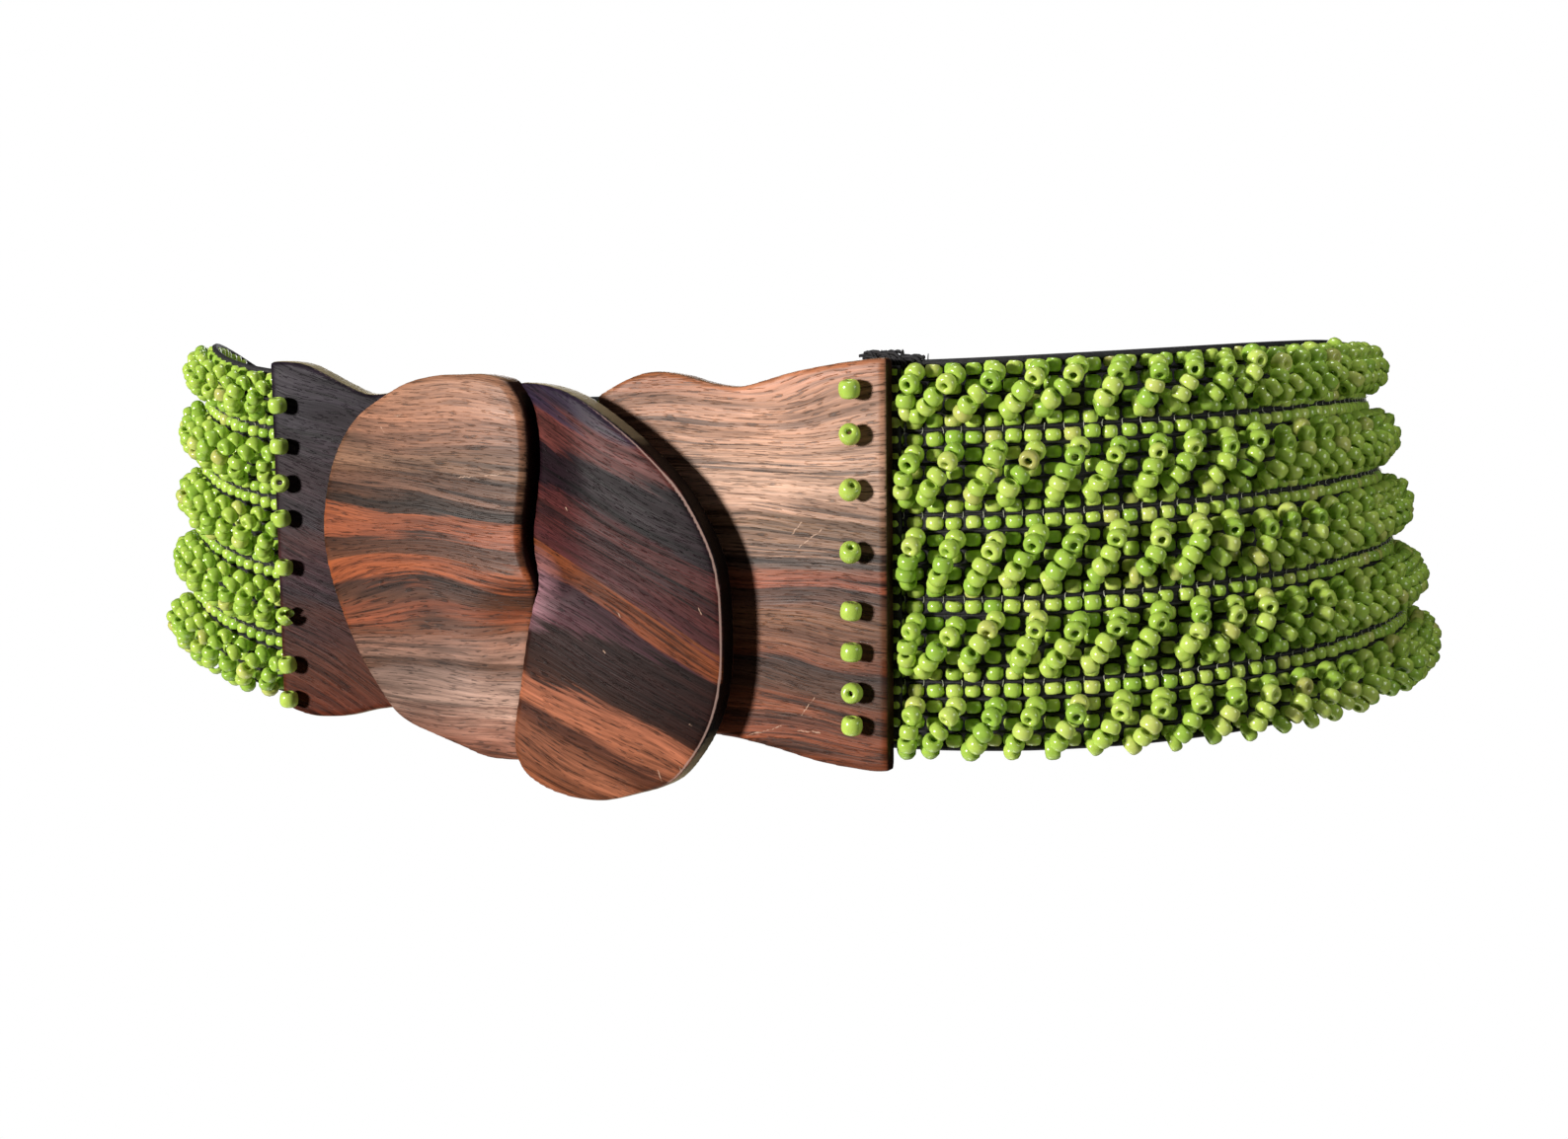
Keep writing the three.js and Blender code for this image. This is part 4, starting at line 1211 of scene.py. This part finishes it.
def make_camera():
    data = bpy.data.cameras.new("camera")
    data.sensor_fit = "HORIZONTAL"
    data.sensor_width = SENSOR
    data.lens = SENSOR * CAMERA_FOCAL / IMAGE_WIDTH
    data.clip_start = 0.01
    camera = bpy.data.objects.new("camera", data)
    back = CAMERA_BACK.normalized()
    right = Vector((-back.y, back.x, 0)).normalized()
    up = back.cross(right)
    rolled_right = right * math.cos(CAMERA_ROLL) + up * math.sin(CAMERA_ROLL)
    rolled_up = back.cross(rolled_right)
    turn = Matrix((rolled_right, rolled_up, back)).transposed()
    place = Vector((CAMERA_PLACE + CLASP_ORIGIN) * MM)
    camera.matrix_world = Matrix.Translation(place) @ turn.to_4x4()
    bpy.context.scene.collection.objects.link(camera)
    bpy.context.scene.camera = camera


FLOOR_HEIGHT = -0.6
FLOOR_HALF = 0.55


def make_stage():
    """A pale floor, well below the belt so that no shadow of it is in the picture."""
    corners = [(-1, -1), (1, -1), (1, 1), (-1, 1)]
    vertices = [(x * FLOOR_HALF / MM, y * FLOOR_HALF / MM, FLOOR_HEIGHT / MM) for x, y in corners]
    floor = mesh_object("floor", vertices, [(0, 1, 2, 3)], smooth=False)
    nodes = Nodes("pale_floor")
    grain = nodes.noise(nodes.mapped((40, 40, 40)), detail=2)
    pale = nodes.ramp(grain, ((0.3, linear("e9e9e8")), (0.7, linear("efefee"))))
    nodes.link(pale, nodes.shader.inputs["Base Color"])
    nodes.shader.inputs["Roughness"].default_value = 0.9
    floor.data.materials.append(nodes.material)


def area_light(name, azimuth, elevation, distance, size, strength, colour):
    """A round lamp aimed at the clasp, its strength in watts at one metre's distance."""
    target = Vector(CLASP_ORIGIN * MM)
    a, e = math.radians(azimuth), math.radians(elevation)
    way = Vector((math.sin(a) * math.cos(e), -math.cos(a) * math.cos(e), math.sin(e)))
    data = bpy.data.lights.new(name, "AREA")
    data.shape = "DISK"
    data.size = size
    data.energy = strength * distance**2
    data.color = colour
    light = bpy.data.objects.new(name, data)
    light.location = target + way * distance
    light.rotation_euler = (-way).to_track_quat("-Z", "Y").to_euler()
    bpy.context.scene.collection.objects.link(light)


# Lamps: azimuth and elevation in degrees, distance and size in metres, strength, colour
LAMPS = {
    "key": (-27, 6, 1.3, 0.2, 14.5, (1, 0.965, 0.92)),
    "overhead": (-5, 94, 1.2, 0.4, 4.0, (1, 1, 1)),
    "underside": (20, -94, 0.5, 0.2, 1.2, (1, 1, 1)),
    "fill": (87, 11, 0.31, 0.1, 1.3, (1, 1, 1)),
    "behind": (-150, 6, 1.3, 0.8, 3.5, (1, 1, 1)),
}
SURROUND_SEEN = 1.0
SURROUND_LIT = 0.018


def make_light():
    """A lamp from the left, weaker ones above, below, at the right and behind, and a white surround."""
    world = bpy.data.worlds.new("studio")
    bpy.context.scene.world = world
    world.use_nodes = True
    tree = world.node_tree
    seen = tree.nodes["Background"]
    seen.inputs["Color"].default_value = (1, 1, 1, 1)
    seen.inputs["Strength"].default_value = SURROUND_SEEN
    lit = tree.nodes.new("ShaderNodeBackground")
    lit.inputs["Color"].default_value = (0.9, 0.95, 1, 1)
    lit.inputs["Strength"].default_value = SURROUND_LIT
    path = tree.nodes.new("ShaderNodeLightPath")
    mix = tree.nodes.new("ShaderNodeMixShader")
    tree.links.new(path.outputs["Is Camera Ray"], mix.inputs[0])
    tree.links.new(lit.outputs[0], mix.inputs[1])
    tree.links.new(seen.outputs[0], mix.inputs[2])
    tree.links.new(mix.outputs[0], tree.nodes["World Output"].inputs["Surface"])
    for name, lamp in LAMPS.items():
        area_light(name, *lamp)
    bpy.context.scene.view_settings.view_transform = "Standard"


make_camera()
make_stage()
make_light()

# Walls: the lit end-grain colour, the painted shade for sideways walls, and how much painted rim highlight.
dark_wood = rosewood(
    "dark_rosewood", DARK_SLOPE_BELOW, dark_figure, ("d8c69c", "0c0807", 0.7), (0.07, 0.34), DARK_SCRATCHES,
)
light_wood = rosewood(
    "light_rosewood", LIGHT_SLOPE, light_figure, ("8a6a48", "2a140e", 0.0), (0.14, 0.34), LIGHT_SCRATCHES,
)
finish_piece(carve_dark_half(), dark_wood, "dark_rosewood", "clasp_dark_half")
finish_piece(carve_light_half(), light_wood, "light_rosewood", "clasp_light_half")

green_glass = bead_glass("green_bead_glass", GREEN_STOPS, 0.2)
black_elastic = elastic("black_elastic", "0b0a0c", 0.7)
for lobe_number, row_heights in enumerate(lobe_rows()):
    finish_piece(flat_rows(lobe_number, row_heights), green_glass, "green_seed_beads", "woven_band")
    finish_piece(standing_loops(lobe_number, row_heights), green_glass, "green_seed_beads", "woven_band")
for cord_piece in (stretch_cords(), thread_web_and_shade_sheet(), tucked_ends(), frayed_ends()):
    finish_piece(cord_piece, black_elastic, "green_seed_beads", "woven_band")
finish_piece(thread_ticks(), clear_thread(), "green_seed_beads", "woven_band")

stitch_glass = bead_glass("stitch_bead_glass", GREEN_STOPS, 0.22)
left_beads = stitch_beads("left", LEFT_STITCH_BEADS, LEFT_BEAD_INSET - LEFT_REACH, LEFT_PLATE_LIFT)
right_beads = stitch_beads("right", RIGHT_STITCH_BEADS, RIGHT_REACH - RIGHT_BEAD_INSET, RIGHT_PLATE_LIFT)
for stitch_bead in left_beads + right_beads:
    finish_piece(stitch_bead, stitch_glass, "stitch_beads")
